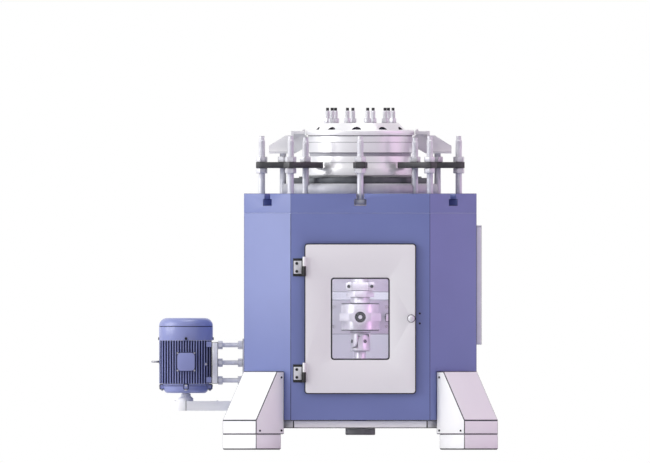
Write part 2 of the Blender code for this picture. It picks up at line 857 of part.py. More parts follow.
def hinge_leaf(bottom):
    """The cabinet's half of a lift-off hinge: leaf, screws, lower knuckle and pin."""
    back = DOOR_BACK
    front = back - LEAF_THICK
    centre = (HINGE_X, HINGE_Y)
    split = bottom + LOWER_KNUCKLE - GAP
    leaf = block((LEAF_LEFT, front, bottom), (LEAF_RIGHT, back, bottom + LEAF_HEIGHT))
    web = block(
        (LEAF_RIGHT - LEAF_THICK, HINGE_Y, bottom),
        (HINGE_X - KNUCKLE_RADIUS / 2, back - LEAF_THICK / 2, split),
    )
    fuse(
        leaf,
        web,
        drum(KNUCKLE_RADIUS, bottom, split, 2 * SMALL, centre),
        drum(PIN_RADIUS, bottom + KNUCKLE_RADIUS, split + PIN_LENGTH, SMALL, centre),
    )
    screw_x = LEAF_LEFT + 0.019
    for share in (0.28, 0.72):
        spot = (screw_x, bottom + LEAF_HEIGHT * share)
        wide = circle(LEAF_SCREW_RADIUS, SMALL, spot)
        small = circle(LEAF_SCREW_RADIUS * 0.6, SMALL, spot)
        fuse(leaf, loft([(small, front - 0.003), (wide, front - 0.001), (wide, back - 0.001)], "Y"))
    return leaf


# Motor and belt drive


def fin_outline():
    """Upright cooling fins in four groups, each group parallel as a mould draws it."""
    points = []
    for quarter in range(4):
        turn = math.pi / 2 * quarter
        beside = SIDE_FINS if quarter % 2 == 0 else FACE_FINS
        for i in range(-beside, beside + 1):
            middle = i * FIN_PITCH
            for across, radius in (
                (middle - FIN_ROOT_HALF, MOTOR_ROOT_RADIUS),
                (middle - FIN_TIP_HALF, MOTOR_RADIUS),
                (middle + FIN_TIP_HALF, MOTOR_RADIUS),
                (middle + FIN_ROOT_HALF, MOTOR_ROOT_RADIUS),
            ):
                angle = turn + math.asin(across / radius)
                points.append((MOTOR_X + radius * math.cos(angle), radius * math.sin(angle)))
    return points


def motor_frame():
    """The finned frame with its mounting face, terminal pad and lifting-eye boss."""
    low = MOTOR_FRAME_LOW
    high = MOTOR_FRAME_HIGH
    frame = prism(fin_outline(), low, high)
    face_x = MOTOR_X + MOTOR_FACE
    pad_grow = 0.004
    past = 0.03
    boss = EYE_COLLAR_RADIUS * 1.4
    eye_face = MOTOR_X - EYE_REACH + EYE_HEIGHT + GAP
    carve(
        frame,
        block((face_x, -MOTOR_RADIUS, low - past), (face_x + past, MOTOR_RADIUS, high + past)),
        block(
            (
                MOTOR_X - TERMINAL_HALF_WIDTH - pad_grow,
                -MOTOR_RADIUS - past,
                TERMINAL_LOW - pad_grow,
            ),
            (MOTOR_X + TERMINAL_HALF_WIDTH + pad_grow, -TERMINAL_BACK, TERMINAL_HIGH + pad_grow),
        ),
        drum(boss, MOTOR_X - MOTOR_RADIUS - past, eye_face, SMALL, (0.0, EYE_Z), "X"),
    )
    foot_half = MOUNT_PLATE_HALF - MOTOR_FOOT_TRIM
    fuse(
        frame,
        block(
            (MOTOR_X + MOTOR_ROOT_RADIUS * 0.6, -foot_half, low + MOTOR_FOOT_TRIM),
            (face_x, foot_half, high - MOTOR_FOOT_TRIM),
        ),
        block(
            (MOTOR_X - TERMINAL_HALF_WIDTH, -TERMINAL_BACK, TERMINAL_LOW),
            (MOTOR_X + TERMINAL_HALF_WIDTH, -MOTOR_ROOT_RADIUS * 0.6, TERMINAL_HIGH),
        ),
        drum(boss - 0.001, eye_face, MOTOR_X - MOTOR_ROOT_RADIUS * 0.7, SMALL, (0.0, EYE_Z), "X"),
    )
    return carve(
        frame,
        drum(STATOR_BORE, low - past, high - MOTOR_END_WALL, ROUND, (MOTOR_X, 0.0)),
        drum(TAIL_SHAFT_RADIUS + RUN, low, high + past, ROUND, (MOTOR_X, 0.0)),
    )


def motor_end_shield():
    """The lower end shield, with four bolt lugs."""
    high = MOTOR_FRAME_LOW - GAP
    bore = MOTOR_SHAFT_RADIUS + RUN
    corner = (SHIELD_RADIUS - SHIELD_ROUND, SHIELD_LOW + SHIELD_ROUND)
    profile = [(bore, SHIELD_LOW)]
    profile += arc(corner, SHIELD_ROUND, -90.0, 0.0, 4)
    profile += [(SHIELD_RADIUS, high - 0.012), (MOTOR_ROOT_RADIUS, high - 0.008)]
    profile += [(MOTOR_ROOT_RADIUS, high), (bore, high)]
    shield = turned(profile, ROUND, (MOTOR_X, 0.0))
    lug_at = MOTOR_RADIUS - 0.013
    for i in range(4):
        angle = math.tau * i / 4
        lug = loft(
            [
                (rectangle((SHIELD_RADIUS - 0.02, -0.012), (lug_at - 0.002, 0.012)), high - 0.030),
                (rectangle((SHIELD_RADIUS - 0.02, -0.014), (lug_at + 0.012, 0.014)), high - 0.012),
                (rectangle((SHIELD_RADIUS - 0.02, -0.014), (lug_at + 0.012, 0.014)), high - 0.001),
            ]
        )
        bolt = nut(0.013, high - 0.010, high - 0.036, (lug_at - 0.002, 0.0))
        turn_about = Matrix.Translation((MOTOR_X, 0.0, 0.0)) @ Matrix.Rotation(angle, 4, "Z")
        fuse(shield, moved(lug, turn_about), moved(bolt, turn_about))
    return shield


def motor_fan_cowl():
    """A pressed cowl with a round shoulder and radial air slots in its top."""
    low = MOTOR_FRAME_HIGH + GAP
    sheet = COWL_SHEET
    corner = (COWL_RADIUS - COWL_SHOULDER, COWL_TOP - COWL_SHOULDER)
    outer = arc(corner, COWL_SHOULDER, 0.0, 90.0, 4)
    inner = arc(corner, COWL_SHOULDER - sheet, 90.0, 0.0, 4)
    profile = [(COWL_RADIUS, low), *outer, (0.0, COWL_TOP), (0.0, COWL_TOP - sheet), *inner]
    profile.append((COWL_RADIUS - sheet, low))
    cowl = turned(profile, ROUND, (MOTOR_X, 0.0))
    slots = []
    for i in range(COWL_SLOTS):
        slot = block((0.030, -0.004, COWL_TOP - 0.01), (0.088, 0.004, COWL_TOP + 0.01))
        spread = Matrix.Rotation(math.tau * i / COWL_SLOTS, 4, "Z")
        slots.append(moved(slot, Matrix.Translation((MOTOR_X, 0.0, 0.0)) @ spread))
    return carve(cowl, together(slots))


def terminal_box():
    """The cable box on the motor's front, with a raised lid and four lid screws."""
    back = -(TERMINAL_BACK + GAP)
    front = -TERMINAL_FRONT
    lid = 0.012
    low = (MOTOR_X - TERMINAL_HALF_WIDTH, TERMINAL_LOW)
    high = (MOTOR_X + TERMINAL_HALF_WIDTH, TERMINAL_HIGH)
    body = prism(rounded(low, high, 0.004, 2), front + lid, back, "Y")
    step = 0.002
    lid_low = (low[0] + step, low[1] + step)
    lid_high = (high[0] - step, high[1] - step)
    fuse(body, prism(rounded(lid_low, lid_high, 0.016), front, front + 2 * lid, "Y"))
    inset = 0.007
    for x in (low[0] + inset, high[0] - inset):
        for z in (low[1] + inset, high[1] - inset):
            fuse(body, drum(0.005, front + lid - 0.004, front + 2 * lid, SMALL, (x, z), "Y"))
    return body


def lifting_eye():
    """An eye bolt in the motor's left side, its ring lying level."""
    seat = MOTOR_X - EYE_REACH + EYE_HEIGHT
    ring_x = MOTOR_X - EYE_REACH + EYE_RING_RADIUS
    collar = drum(EYE_COLLAR_RADIUS, ring_x + EYE_HOLE_RADIUS + 0.004, seat, SMALL, (0.0, EYE_Z), "X")
    middle = (EYE_RING_RADIUS + EYE_HOLE_RADIUS) / 2
    half_wide = (EYE_RING_RADIUS - EYE_HOLE_RADIUS) / 2
    section = [
        (middle + half_wide * math.cos(a), EYE_Z + EYE_THICK / 2 * math.sin(a))
        for a in (math.tau * i / 6 for i in range(6))
    ]
    return fuse(collar, turned(section, 2 * SMALL, (ring_x, 0.0)))


def motor_rotor():
    """Shaft, rotor core, cooling fan and drive pulley in one turning piece."""
    core = STATOR_BORE - ROTOR_AIR_GAP
    core_low = MOTOR_FRAME_LOW + MOTOR_END_WALL
    core_high = MOTOR_FRAME_HIGH - 2 * MOTOR_END_WALL
    fan_low = MOTOR_FRAME_HIGH + FAN_HEIGHT * 0.55
    rim = PULLEY_RADIUS + PULLEY_RIM
    profile = [
        (0.0, PULLEY_LOW),
        (rim, PULLEY_LOW),
        (rim, PULLEY_LOW + PULLEY_FLANGE),
        (PULLEY_RADIUS, PULLEY_LOW + PULLEY_FLANGE),
        (PULLEY_RADIUS, PULLEY_HIGH - PULLEY_FLANGE),
        (rim, PULLEY_HIGH - PULLEY_FLANGE),
        (rim, PULLEY_HIGH),
        (MOTOR_SHAFT_RADIUS, PULLEY_HIGH),
        (MOTOR_SHAFT_RADIUS, core_low),
        (core, core_low),
        (core, core_high),
        (TAIL_SHAFT_RADIUS, core_high),
        (TAIL_SHAFT_RADIUS, fan_low),
        (FAN_RADIUS, fan_low),
        (FAN_RADIUS, fan_low + FAN_DISC),
        (TAIL_SHAFT_RADIUS * 1.4, fan_low + FAN_DISC),
        (TAIL_SHAFT_RADIUS * 1.4, fan_low + FAN_HEIGHT),
        (0.0, fan_low + FAN_HEIGHT),
    ]
    rotor = turned(profile, 2 * SMALL, (MOTOR_X, 0.0))
    for i in range(FAN_BLADES):
        blade = block(
            (TAIL_SHAFT_RADIUS, -0.002, fan_low + FAN_DISC / 2),
            (FAN_RADIUS * 0.96, 0.002, fan_low + FAN_HEIGHT * 0.9),
        )
        spread = Matrix.Rotation(math.tau * i / FAN_BLADES, 4, "Z")
        fuse(rotor, moved(blade, Matrix.Translation((MOTOR_X, 0.0, 0.0)) @ spread))
    return rotor


def motor_mount_plate():
    plate = block(
        (MOUNT_PLATE_LEFT, -MOUNT_PLATE_HALF, MOUNT_PLATE_LOW),
        (MOUNT_PLATE_RIGHT, MOUNT_PLATE_HALF, MOUNT_PLATE_HIGH),
    )
    past = 0.01
    holes = [
        drum(MOUNT_STUD_RADIUS + SLIP, MOUNT_PLATE_LEFT - past, MOUNT_PLATE_RIGHT + past, SMALL,
             (y, z), "X")
        for y in (-MOUNT_STUD_Y, MOUNT_STUD_Y)
        for z in MOUNT_STUD_ROWS
    ]
    return carve(plate, together(holes))


def motor_stud_pad():
    """A pad on the cabinet's left wall, with six studs that carry the motor's plate."""
    pad = block((PAD_LEFT, -MOUNT_PLATE_HALF, PAD_LOW), (PAD_RIGHT, MOUNT_PLATE_HALF, PAD_HIGH))
    end = MOUNT_PLATE_LEFT + 0.002
    sink = PAD_THICK / 2
    for y in (-MOUNT_STUD_Y, MOUNT_STUD_Y):
        for z in MOUNT_STUD_ROWS:
            spot = (y, z)
            near = PAD_LEFT - MOUNT_NUT_HEIGHT
            far = MOUNT_PLATE_RIGHT + GAP
            lean = math.radians(30.0)
            fuse(
                pad,
                drum(MOUNT_STUD_RADIUS, end, PAD_RIGHT - sink, SMALL, spot, "X"),
                nut(MOUNT_NUT_ACROSS, PAD_LEFT + sink, near, spot, "X", turn=lean),
                nut(MOUNT_NUT_ACROSS, far, far + MOUNT_NUT_HEIGHT, spot, "X", turn=lean),
            )
    return pad


def belt_guard():
    """A long flat case round belt and pulleys, on two short brackets."""
    past = 0.01
    guard = prism(stadium(GUARD_RADIUS, MOTOR_X, 0.0), GUARD_LOW, GUARD_HIGH)
    boss = turned(
        [
            (0.0, GUARD_HIGH - GUARD_SHEET / 2),
            (GUARD_BOSS_RADIUS, GUARD_HIGH - GUARD_SHEET / 2),
            (GUARD_BOSS_RADIUS, GUARD_BOSS_HIGH),
            (GUARD_CONE_RADIUS, GUARD_CONE_HIGH),
            (0.0, GUARD_CONE_HIGH),
        ],
        ROUND,
        (MOTOR_X, 0.0),
    )
    bracket_low = CABINET_BOTTOM
    for left in (-CABINET_HALF * 0.75, GUARD_RADIUS * 0.6):
        half = GUARD_RADIUS * 0.5
        fuse(guard, block((left, -half, bracket_low), (left + 0.010, half, GUARD_LOW + 0.001)))
    fuse(guard, boss)
    inner = GUARD_RADIUS - GUARD_SHEET
    cavity = prism(stadium(inner, MOTOR_X, 0.0), GUARD_LOW + GUARD_SHEET, GUARD_HIGH - GUARD_SHEET)
    return carve(
        guard,
        cavity,
        drum(MOTOR_SHAFT_RADIUS + 4 * RUN, GUARD_LOW + past, GUARD_CONE_HIGH + past, ROUND,
             (MOTOR_X, 0.0)),
        drum(SPINDLE_RADIUS + 5 * RUN, GUARD_LOW - past, GUARD_HIGH + past),
    )


def drive_belt():
    """A flat belt round two equal pulleys."""
    low = PULLEY_LOW + PULLEY_FLANGE + SLIP
    high = PULLEY_HIGH - PULLEY_FLANGE - SLIP
    inner = PULLEY_RADIUS + SLIP
    belt = prism(stadium(inner + BELT_THICK, MOTOR_X, 0.0, 12), low, high)
    return carve(belt, prism(stadium(inner, MOTOR_X, 0.0, 12), low - 0.01, high + 0.01))


# Spindle and universal joint


def lower_bearing_cap():
    high = CABINET_BOTTOM - BASE_THICK - 2 * GAP
    low = high - CAP_HEIGHT
    bore = SPINDLE_RADIUS + RUN
    trim = 0.004
    return turned(
        [
            (0.0, low),
            (CAP_RADIUS - trim, low),
            (CAP_RADIUS, low + trim),
            (CAP_RADIUS, high),
            (bore, high),
            (bore, low + CAP_FLOOR),
            (0.0, low + CAP_FLOOR),
        ],
        ROUND,
    )


def spindle_housing():
    """The upper bearing housing, bolted to the deck."""
    seat = DECK_TOP + GAP
    bore = SPINDLE_RADIUS + RUN
    flange = seat + HOUSING_FLANGE_THICK
    trim = 0.006
    housing = turned(
        [
            (bore, DECK_HEIGHT),
            (HOUSING_SPIGOT_RADIUS, DECK_HEIGHT),
            (HOUSING_SPIGOT_RADIUS, seat),
            (HOUSING_FLANGE_RADIUS, seat),
            (HOUSING_FLANGE_RADIUS, flange),
            (HOUSING_RADIUS, flange),
            (HOUSING_RADIUS, HOUSING_TOP - trim),
            (HOUSING_RADIUS - trim, HOUSING_TOP),
            (bore, HOUSING_TOP),
        ],
        ROUND,
    )
    bolt_at = (HOUSING_RADIUS + HOUSING_FLANGE_RADIUS) / 2
    bolts = [
        nut(0.016, flange - 0.002, flange + 0.009, point)
        for point in circle(bolt_at, HOUSING_BOLTS, turn=math.radians(30.0))
    ]
    return fuse(housing, together(bolts))


def spindle_shaft():
    low = CABINET_BOTTOM - BASE_THICK - GAP - CAP_HEIGHT + CAP_FLOOR
    return drum(SPINDLE_RADIUS, low, YOKE_BASE - GAP)


def spindle_pulley():
    rim = PULLEY_RADIUS + PULLEY_RIM
    bore = SPINDLE_RADIUS + GAP
    return turned(
        [
            (bore, PULLEY_LOW),
            (rim, PULLEY_LOW),
            (rim, PULLEY_LOW + PULLEY_FLANGE),
            (PULLEY_RADIUS, PULLEY_LOW + PULLEY_FLANGE),
            (PULLEY_RADIUS, PULLEY_HIGH - PULLEY_FLANGE),
            (rim, PULLEY_HIGH - PULLEY_FLANGE),
            (rim, PULLEY_HIGH),
            (bore, PULLEY_HIGH),
        ],
        ROUND,
    )


def yoke_ears(base, turn):
    """Two ears with round ends, reaching from a base to the pins of the cross."""
    centre = (0.0, JOINT_CENTRE)
    side = 1.0 if base < JOINT_CENTRE else -1.0
    if side > 0.0:
        outline = arc(centre, EAR_RADIUS, 0.0, 180.0, 8)
    else:
        outline = arc(centre, EAR_RADIUS, 180.0, 360.0, 8)
    outline += [(-side * EAR_RADIUS, base), (side * EAR_RADIUS, base)]
    low = min(base, JOINT_CENTRE - EAR_RADIUS) - EAR_RADIUS
    high = max(base, JOINT_CENTRE + EAR_RADIUS) + EAR_RADIUS
    past = EAR_OUTER + EAR_RADIUS
    ears = []
    for inner, outer in ((EAR_INNER, past), (-past, -EAR_INNER)):
        ear = prism(outline, inner, outer, "X")
        combine(ear, drum(EAR_OUTER, low, high, ROUND), "INTERSECT")
        hole = drum(TRUNNION_RADIUS + GAP, inner - GAP, outer + GAP, SMALL, centre, "X")
        ears.append(turned_to(carve(ear, hole), turn))
    return ears


def ujoint_lower_yoke():
    trim = 0.006
    high = YOKE_BASE + YOKE_BASE_THICK
    base = turned(
        [(0.0, YOKE_BASE), (YOKE_RADIUS - trim, YOKE_BASE), (YOKE_RADIUS, YOKE_BASE + trim),
         (YOKE_RADIUS, high), (0.0, high)],
        ROUND,
    )
    return fuse(base, *yoke_ears(high - 0.002, JOINT_TURN + math.pi / 2))


def ujoint_upper_yoke():
    high = HEAD_FLANGE_LOW - GAP
    low = JOINT_CENTRE + EAR_RADIUS + 0.004
    hub = turned(
        [(0.0, low), (YOKE_RADIUS - 0.008, low), (YOKE_RADIUS - 0.004, low + 0.004),
         (UPPER_HUB_RADIUS, high - 0.002), (UPPER_HUB_RADIUS, high), (0.0, high)],
        ROUND,
    )
    return fuse(hub, *yoke_ears(low + 0.003, JOINT_TURN))


def ujoint_cross():
    """The four-pin spider between the two yokes."""
    low = JOINT_CENTRE - CROSS_BODY * 0.75
    high = JOINT_CENTRE + CROSS_BODY * 0.75
    body = drum(CROSS_BODY, low, high, 2 * SMALL)
    reach = EAR_OUTER - GAP
    for turn in (JOINT_TURN, JOINT_TURN + math.pi / 2):
        pin = drum(TRUNNION_RADIUS, -reach, reach, SMALL, (0.0, JOINT_CENTRE), "X")
        fuse(body, turned_to(pin, turn))
    return body


# Load head and load shaft


def load_head():
    """The turning bearing head on the load shaft's lower end."""
    bore = SPIGOT_RADIUS + RUN
    floor = SPIGOT_LOW - 0.006
    return turned(
        [
            (0.0, HEAD_FLANGE_LOW),
            (HEAD_FLANGE_RADIUS, HEAD_FLANGE_LOW),
            (HEAD_FLANGE_RADIUS, HEAD_LOW),
            (HEAD_RADIUS, HEAD_LOW),
            (HEAD_RADIUS, HEAD_HIGH),
            (NECK_RADIUS, HEAD_HIGH),
            (NECK_RADIUS, HEAD_NECK_TOP),
            (bore, HEAD_NECK_TOP),
            (bore, floor),
            (0.0, floor),
        ],
        ROUND,
    )


def load_band():
    """The square band round the head, with a round boss and its socket screw in front."""
    middle = (BAND_LOW + BAND_HIGH) / 2
    centre = (0.0, middle)
    past = 0.01
    band = prism(cut_square(BAND_HALF, BAND_FLAT_HALF), BAND_LOW, BAND_HIGH)
    fuse(band, drum(BOSS_RADIUS, -BOSS_FACE, -HEAD_RADIUS * 0.9, ROUND, centre, "Y"))
    recess = -BOSS_FACE + BOSS_RECESS_DEPTH
    return carve(
        band,
        drum(HEAD_RADIUS + GAP, HEAD_LOW - past, HEAD_HIGH + past),
        carve(
            drum(BOSS_RECESS_RADIUS, -BOSS_FACE - past, recess, 2 * SMALL, centre, "Y"),
            drum(SOCKET_ACROSS, -BOSS_FACE + 0.001, recess + past, 2 * SMALL, centre, "Y"),
        ),
        prism(polygon(SOCKET_ACROSS, 6, centre), -BOSS_FACE - past, -BOSS_FACE + SOCKET_DEPTH, "Y"),
    )


def load_shaft():
    """The long shaft below the wheel, with its top flange, washer and eight-sided lock nut."""
    top = HUB_FLANGE_LOW - GAP
    flange = top - SHAFT_FLANGE_THICK
    shaft = turned(
        [
            (0.0, SPIGOT_LOW),
            (SPIGOT_RADIUS, SPIGOT_LOW),
            (SPIGOT_RADIUS, LOCK_NUT_HIGH - 0.005),
            (WASHER_RADIUS, LOCK_NUT_HIGH - 0.005),
            (WASHER_RADIUS, WASHER_HIGH),
            (LOAD_SHAFT_RADIUS, WASHER_HIGH),
            (LOAD_SHAFT_RADIUS, LOAD_TAPER_LOW),
            (LOAD_SHAFT_THICK_RADIUS, LOAD_TAPER_HIGH),
            (LOAD_SHAFT_THICK_RADIUS, flange),
            (SHAFT_FLANGE_RADIUS, flange),
            (SHAFT_FLANGE_RADIUS, top),
            (0.0, top),
        ],
        ROUND,
    )
    eighth = polygon(LOCK_NUT_ACROSS, 8, turn=math.pi / 8)
    small = polygon(LOCK_NUT_ACROSS - 0.006, 8, turn=math.pi / 8)
    lock = loft([(small, LOCK_NUT_LOW), (eighth, LOCK_NUT_LOW + 0.002), (eighth, LOCK_NUT_HIGH)])
    return fuse(shaft, lock)


def split_clamp():
    """A clamp round the load shaft, slit on one side, with a bolt through each ear."""
    low = WASHER_HIGH + GAP
    past = 0.01
    clamp = prism(
        rounded((-CLAMP_HALF_WIDTH, low), (CLAMP_HALF_WIDTH, CLAMP_HIGH), CLAMP_CORNER),
        -CLAMP_EAR_HALF,
        CLAMP_EAR_HALF,
        "Y",
    )
    fuse(
        clamp,
        block(
            (-CLAMP_BODY_HALF, -CLAMP_BODY_DEPTH, low + 0.001),
            (CLAMP_BODY_HALF, CLAMP_BODY_DEPTH, CLAMP_HIGH - 0.001),
        ),
    )
    carve(
        clamp,
        drum(LOAD_SHAFT_RADIUS + GAP, low - past, CLAMP_HIGH + past),
        block(
            (LOAD_SHAFT_RADIUS - past, -CLAMP_SLIT / 2, low - past),
            (CLAMP_HALF_WIDTH + past, CLAMP_SLIT / 2, CLAMP_HIGH + past),
        ),
    )
    middle = (low + CLAMP_HIGH) / 2
    for x in (-CLAMP_BOLT_X, CLAMP_BOLT_X):
        bolt = drum(CLAMP_BOLT_RADIUS, -CLAMP_EAR_HALF - 0.008, CLAMP_EAR_HALF + 0.008, SMALL,
                    (x, middle), "Y")
        fuse(clamp, bolt)
    return clamp


def load_hub():
    """The flange under the wheel's disc, with its studs and wheel nuts."""
    lip = 0.006
    spigot_top = DISC_TOP_Z - lip
    hub = turned(
        [
            (0.0, HUB_FLANGE_LOW),
            (HUB_FLANGE_RADIUS, HUB_FLANGE_LOW),
            (HUB_FLANGE_RADIUS, HUB_FLANGE_TOP),
            (HUB_BORE - SLIP, HUB_FLANGE_TOP),
            (HUB_BORE - SLIP, spigot_top),
            (0.0, spigot_top),
        ],
        FINE,
    )
    tip_low = HUB_STUD_TOP
    nut_low = DISC_TOP_Z + GAP
    studs = []
    for point in circle(BOLT_CIRCLE / 2, BOLT_COUNT, turn=BOLT_START):
        body = circle(HUB_STUD_RADIUS, SMALL, point)
        small = circle(HUB_STUD_TIP_RADIUS, SMALL, point)
        stud = loft([(body, HUB_FLANGE_TOP - lip), (body, tip_low), (small, tip_low + 0.002),
                     (small, tip_low + HUB_STUD_TIP)])
        studs.append(fuse(stud, nut(HUB_NUT_ACROSS, nut_low, nut_low + HUB_NUT_HEIGHT, point)))
    return fuse(hub, together(studs))


# Wheel and what it rests on


def wheel_profile():
    """The rim and disc in section, with heights from the wheel's lower edge."""
    slope = (DISC_CONE_RADIUS - DISC_FLAT_RADIUS) / (DISC_TOP - WHEEL_TOP_FLANGE_HIGH)
    valley = WHEEL_TOP_FLANGE_LOW
    valley_radius = DISC_CONE_RADIUS + slope * (WHEEL_TOP_FLANGE_HIGH - valley)
    seat_edge = SEAT_BORE + 2.5 * WHEEL_TRIM
    outside = [
        (WHEEL_FLANGE_RADIUS - WHEEL_TRIM, 0.0),
        (WHEEL_FLANGE_RADIUS, WHEEL_TRIM),
        (WHEEL_FLANGE_RADIUS, WHEEL_FLANGE_HEIGHT),
        (BARREL_RADIUS, WHEEL_FLANGE_HEIGHT),
        (BARREL_RADIUS - WHEEL_TRIM / 2, WAIST_LOW),
        (BARREL_WAIST, WAIST_LOW),
        (BARREL_WAIST, WAIST_HIGH),
        (BARREL_RADIUS - WHEEL_TRIM / 2, WAIST_HIGH + WHEEL_TRIM),
        (BARREL_RADIUS, BARREL_SWELL),
        (BARREL_RADIUS, WHEEL_TOP_FLANGE_LOW),
        (WHEEL_TOP_FLANGE_RADIUS, WHEEL_TOP_FLANGE_LOW),
        (WHEEL_TOP_FLANGE_RADIUS, WHEEL_TOP_FLANGE_HIGH - WHEEL_TRIM),
        (WHEEL_TOP_FLANGE_RADIUS - WHEEL_TRIM, WHEEL_TOP_FLANGE_HIGH),
    ]
    inside = [
        (valley_radius + WHEEL_TRIM / 2, valley),
        (DISC_CONE_RADIUS, WHEEL_TOP_FLANGE_HIGH),
        (DISC_FLAT_RADIUS, DISC_TOP),
        (HUB_BORE, DISC_TOP),
        (HUB_BORE, DISC_TOP - DISC_THICK),
        (DISC_FLAT_RADIUS - DISC_THICK / 2, DISC_TOP - DISC_THICK),
        (DISC_CONE_RADIUS - DISC_THICK, WHEEL_TOP_FLANGE_HIGH - DISC_THICK / 2),
        (BARREL_INNER, valley - VALLEY_UNDER),
        (BARREL_INNER, 3 * WHEEL_TRIM),
        (seat_edge, 0.0),
    ]
    return [(radius, WHEEL_LOW + height) for radius, height in outside + inside]


def test_wheel():
    """A steel truck wheel, disc upwards, with its bolt holes and hand holes."""
    wheel = turned(wheel_profile(), FINE)
    past = 0.02
    holes = [
        drum(BOLT_HOLE_RADIUS, DISC_TOP_Z - DISC_THICK - past, DISC_TOP_Z + past, SMALL, point)
        for point in circle(BOLT_CIRCLE / 2, BOLT_COUNT, turn=BOLT_START)
    ]
    fall = DISC_TOP - WHEEL_TOP_FLANGE_HIGH
    run = DISC_CONE_RADIUS - DISC_FLAT_RADIUS
    lean = math.atan2(fall, run)
    centre_z = DISC_TOP_Z - HAND_HOLE_DROP - HAND_HOLE_RADIUS * math.sin(lean)
    centre_r = DISC_FLAT_RADIUS + (DISC_TOP_Z - centre_z) * run / fall
    stand = Matrix.Translation((centre_r, 0.0, centre_z)) @ Matrix.Rotation(lean, 4, "Y")
    hand_holes = []
    for i in range(BOLT_COUNT):
        hole = moved(drum(HAND_HOLE_RADIUS, -2.5 * DISC_THICK, DISC_THICK / 2, SMALL), stand)
        hand_holes.append(turned_to(hole, HAND_HOLE_START + math.tau * i / BOLT_COUNT))
    return carve(wheel, together(holes), together(hand_holes))


def pedestal_ring():
    """The ring under the rim seat, notched for the inner clamp studs."""
    high = RING_LOW + RING_HEIGHT
    ring = turned(
        [
            (RING_BORE, RING_LOW),
            (RING_RADIUS, RING_LOW),
            (RING_RADIUS, high - RING_CHAMFER),
            (RING_RADIUS - RING_CHAMFER / 2, high - GAP),
            (RING_BORE, high - GAP),
        ],
        FINE,
    )
    half = CLAMP_STUD_RADIUS + 3 * RUN
    outline = arc((INNER_STUD_AT, 0.0), half, 90.0, 270.0, 6)
    outline += [(RING_RADIUS + half, -half), (RING_RADIUS + half, half)]
    notches = [
        turned_to(prism(outline, RING_LOW - half, high + half), math.tau * i / CLAMP_COUNT)
        for i in range(CLAMP_COUNT)
    ]
    return carve(ring, together(notches))


def rim_seat():
    high = SEAT_LOW + SEAT_HEIGHT
    return turned(
        [
            (SEAT_BORE, SEAT_LOW),
            (SEAT_RADIUS, SEAT_LOW),
            (SEAT_RADIUS, high),
            (SEAT_STEP_RADIUS, high),
            (SEAT_STEP_RADIUS, high + SEAT_STEP),
            (SEAT_BORE, high + SEAT_STEP),
        ],
        FINE,
    )


# Rim clamps and rim arms, drawn along +X and then turned to their slots


def clamp_stud(at, top):
    body = circle(CLAMP_STUD_RADIUS, SMALL, (at, 0.0))
    tip = circle(CLAMP_STUD_TIP_RADIUS, SMALL, (at, 0.0))
    low = SLOT_TOP - SLIDER_HEIGHT / 2
    neck = top - CLAMP_STUD_TIP
    return loft([(body, low), (body, neck - 0.003), (tip, neck), (tip, top)])


def clamp_nut(at, seat, side=1.0):
    """A nut that bears on its seat from above, or from below where side is -1."""
    top = seat + side * CLAMP_NUT_HEIGHT
    return nut(CLAMP_NUT_ACROSS, seat, top, (at, 0.0), chamfer=CLAMP_NUT_CHAMFER)


def clamp_carriage(angle, carries_arm):
    """A slider in its T-slot with two studs and their nuts."""
    high = SLOT_TOP - GAP
    inner_end = INNER_STUD_AT - SLIDER_OVERHANG
    outer_end = OUTER_STUD_AT + SLIDER_OVERHANG
    half = SLIDER_WIDTH / 2
    slider = block((inner_end, -half, high - SLIDER_HEIGHT), (outer_end, half, high))
    nut_above = STRAP_TOP + GAP
    outer = fuse(
        clamp_stud(OUTER_STUD_AT, OUTER_STUD_TOP),
        clamp_nut(OUTER_STUD_AT, nut_above),
        clamp_nut(OUTER_STUD_AT, STRAP_LOW - GAP, -1.0),
    )
    if carries_arm:
        low = SLOT_TOP - SLIDER_HEIGHT / 2
        inner = drum(CLAMP_STUD_RADIUS, low, ARM_FOOT_Z - GAP, SMALL, (INNER_STUD_AT, 0.0))
    else:
        inner = clamp_stud(INNER_STUD_AT, INNER_STUD_TOP)
    fuse(inner, clamp_nut(INNER_STUD_AT, nut_above))
    return turned_to(fuse(slider, outer, inner), angle)


def clamp_strap(angle):
    """A flat bar that bears on the rim flange, with a tapered tail and a cut nose."""
    half = STRAP_WIDTH / 2
    end_half = STRAP_END_WIDTH / 2
    outline = [
        (STRAP_INNER, -half + STRAP_NOSE),
        (STRAP_INNER + STRAP_NOSE, -half),
        (STRAP_OUTER - STRAP_TAPER, -half),
        (STRAP_OUTER, -end_half),
        (STRAP_OUTER, end_half),
        (STRAP_OUTER - STRAP_TAPER, half),
        (STRAP_INNER + STRAP_NOSE, half),
        (STRAP_INNER, half - STRAP_NOSE),
    ]
    strap = prism(outline, STRAP_LOW, STRAP_TOP)
    past = 0.01
    holes = [
        drum(CLAMP_STUD_RADIUS + SLIP, STRAP_LOW - past, STRAP_TOP + past, SMALL, (at, 0.0))
        for at in (INNER_STUD_AT, OUTER_STUD_AT)
    ]
    return turned_to(carve(strap, together(holes)), angle)


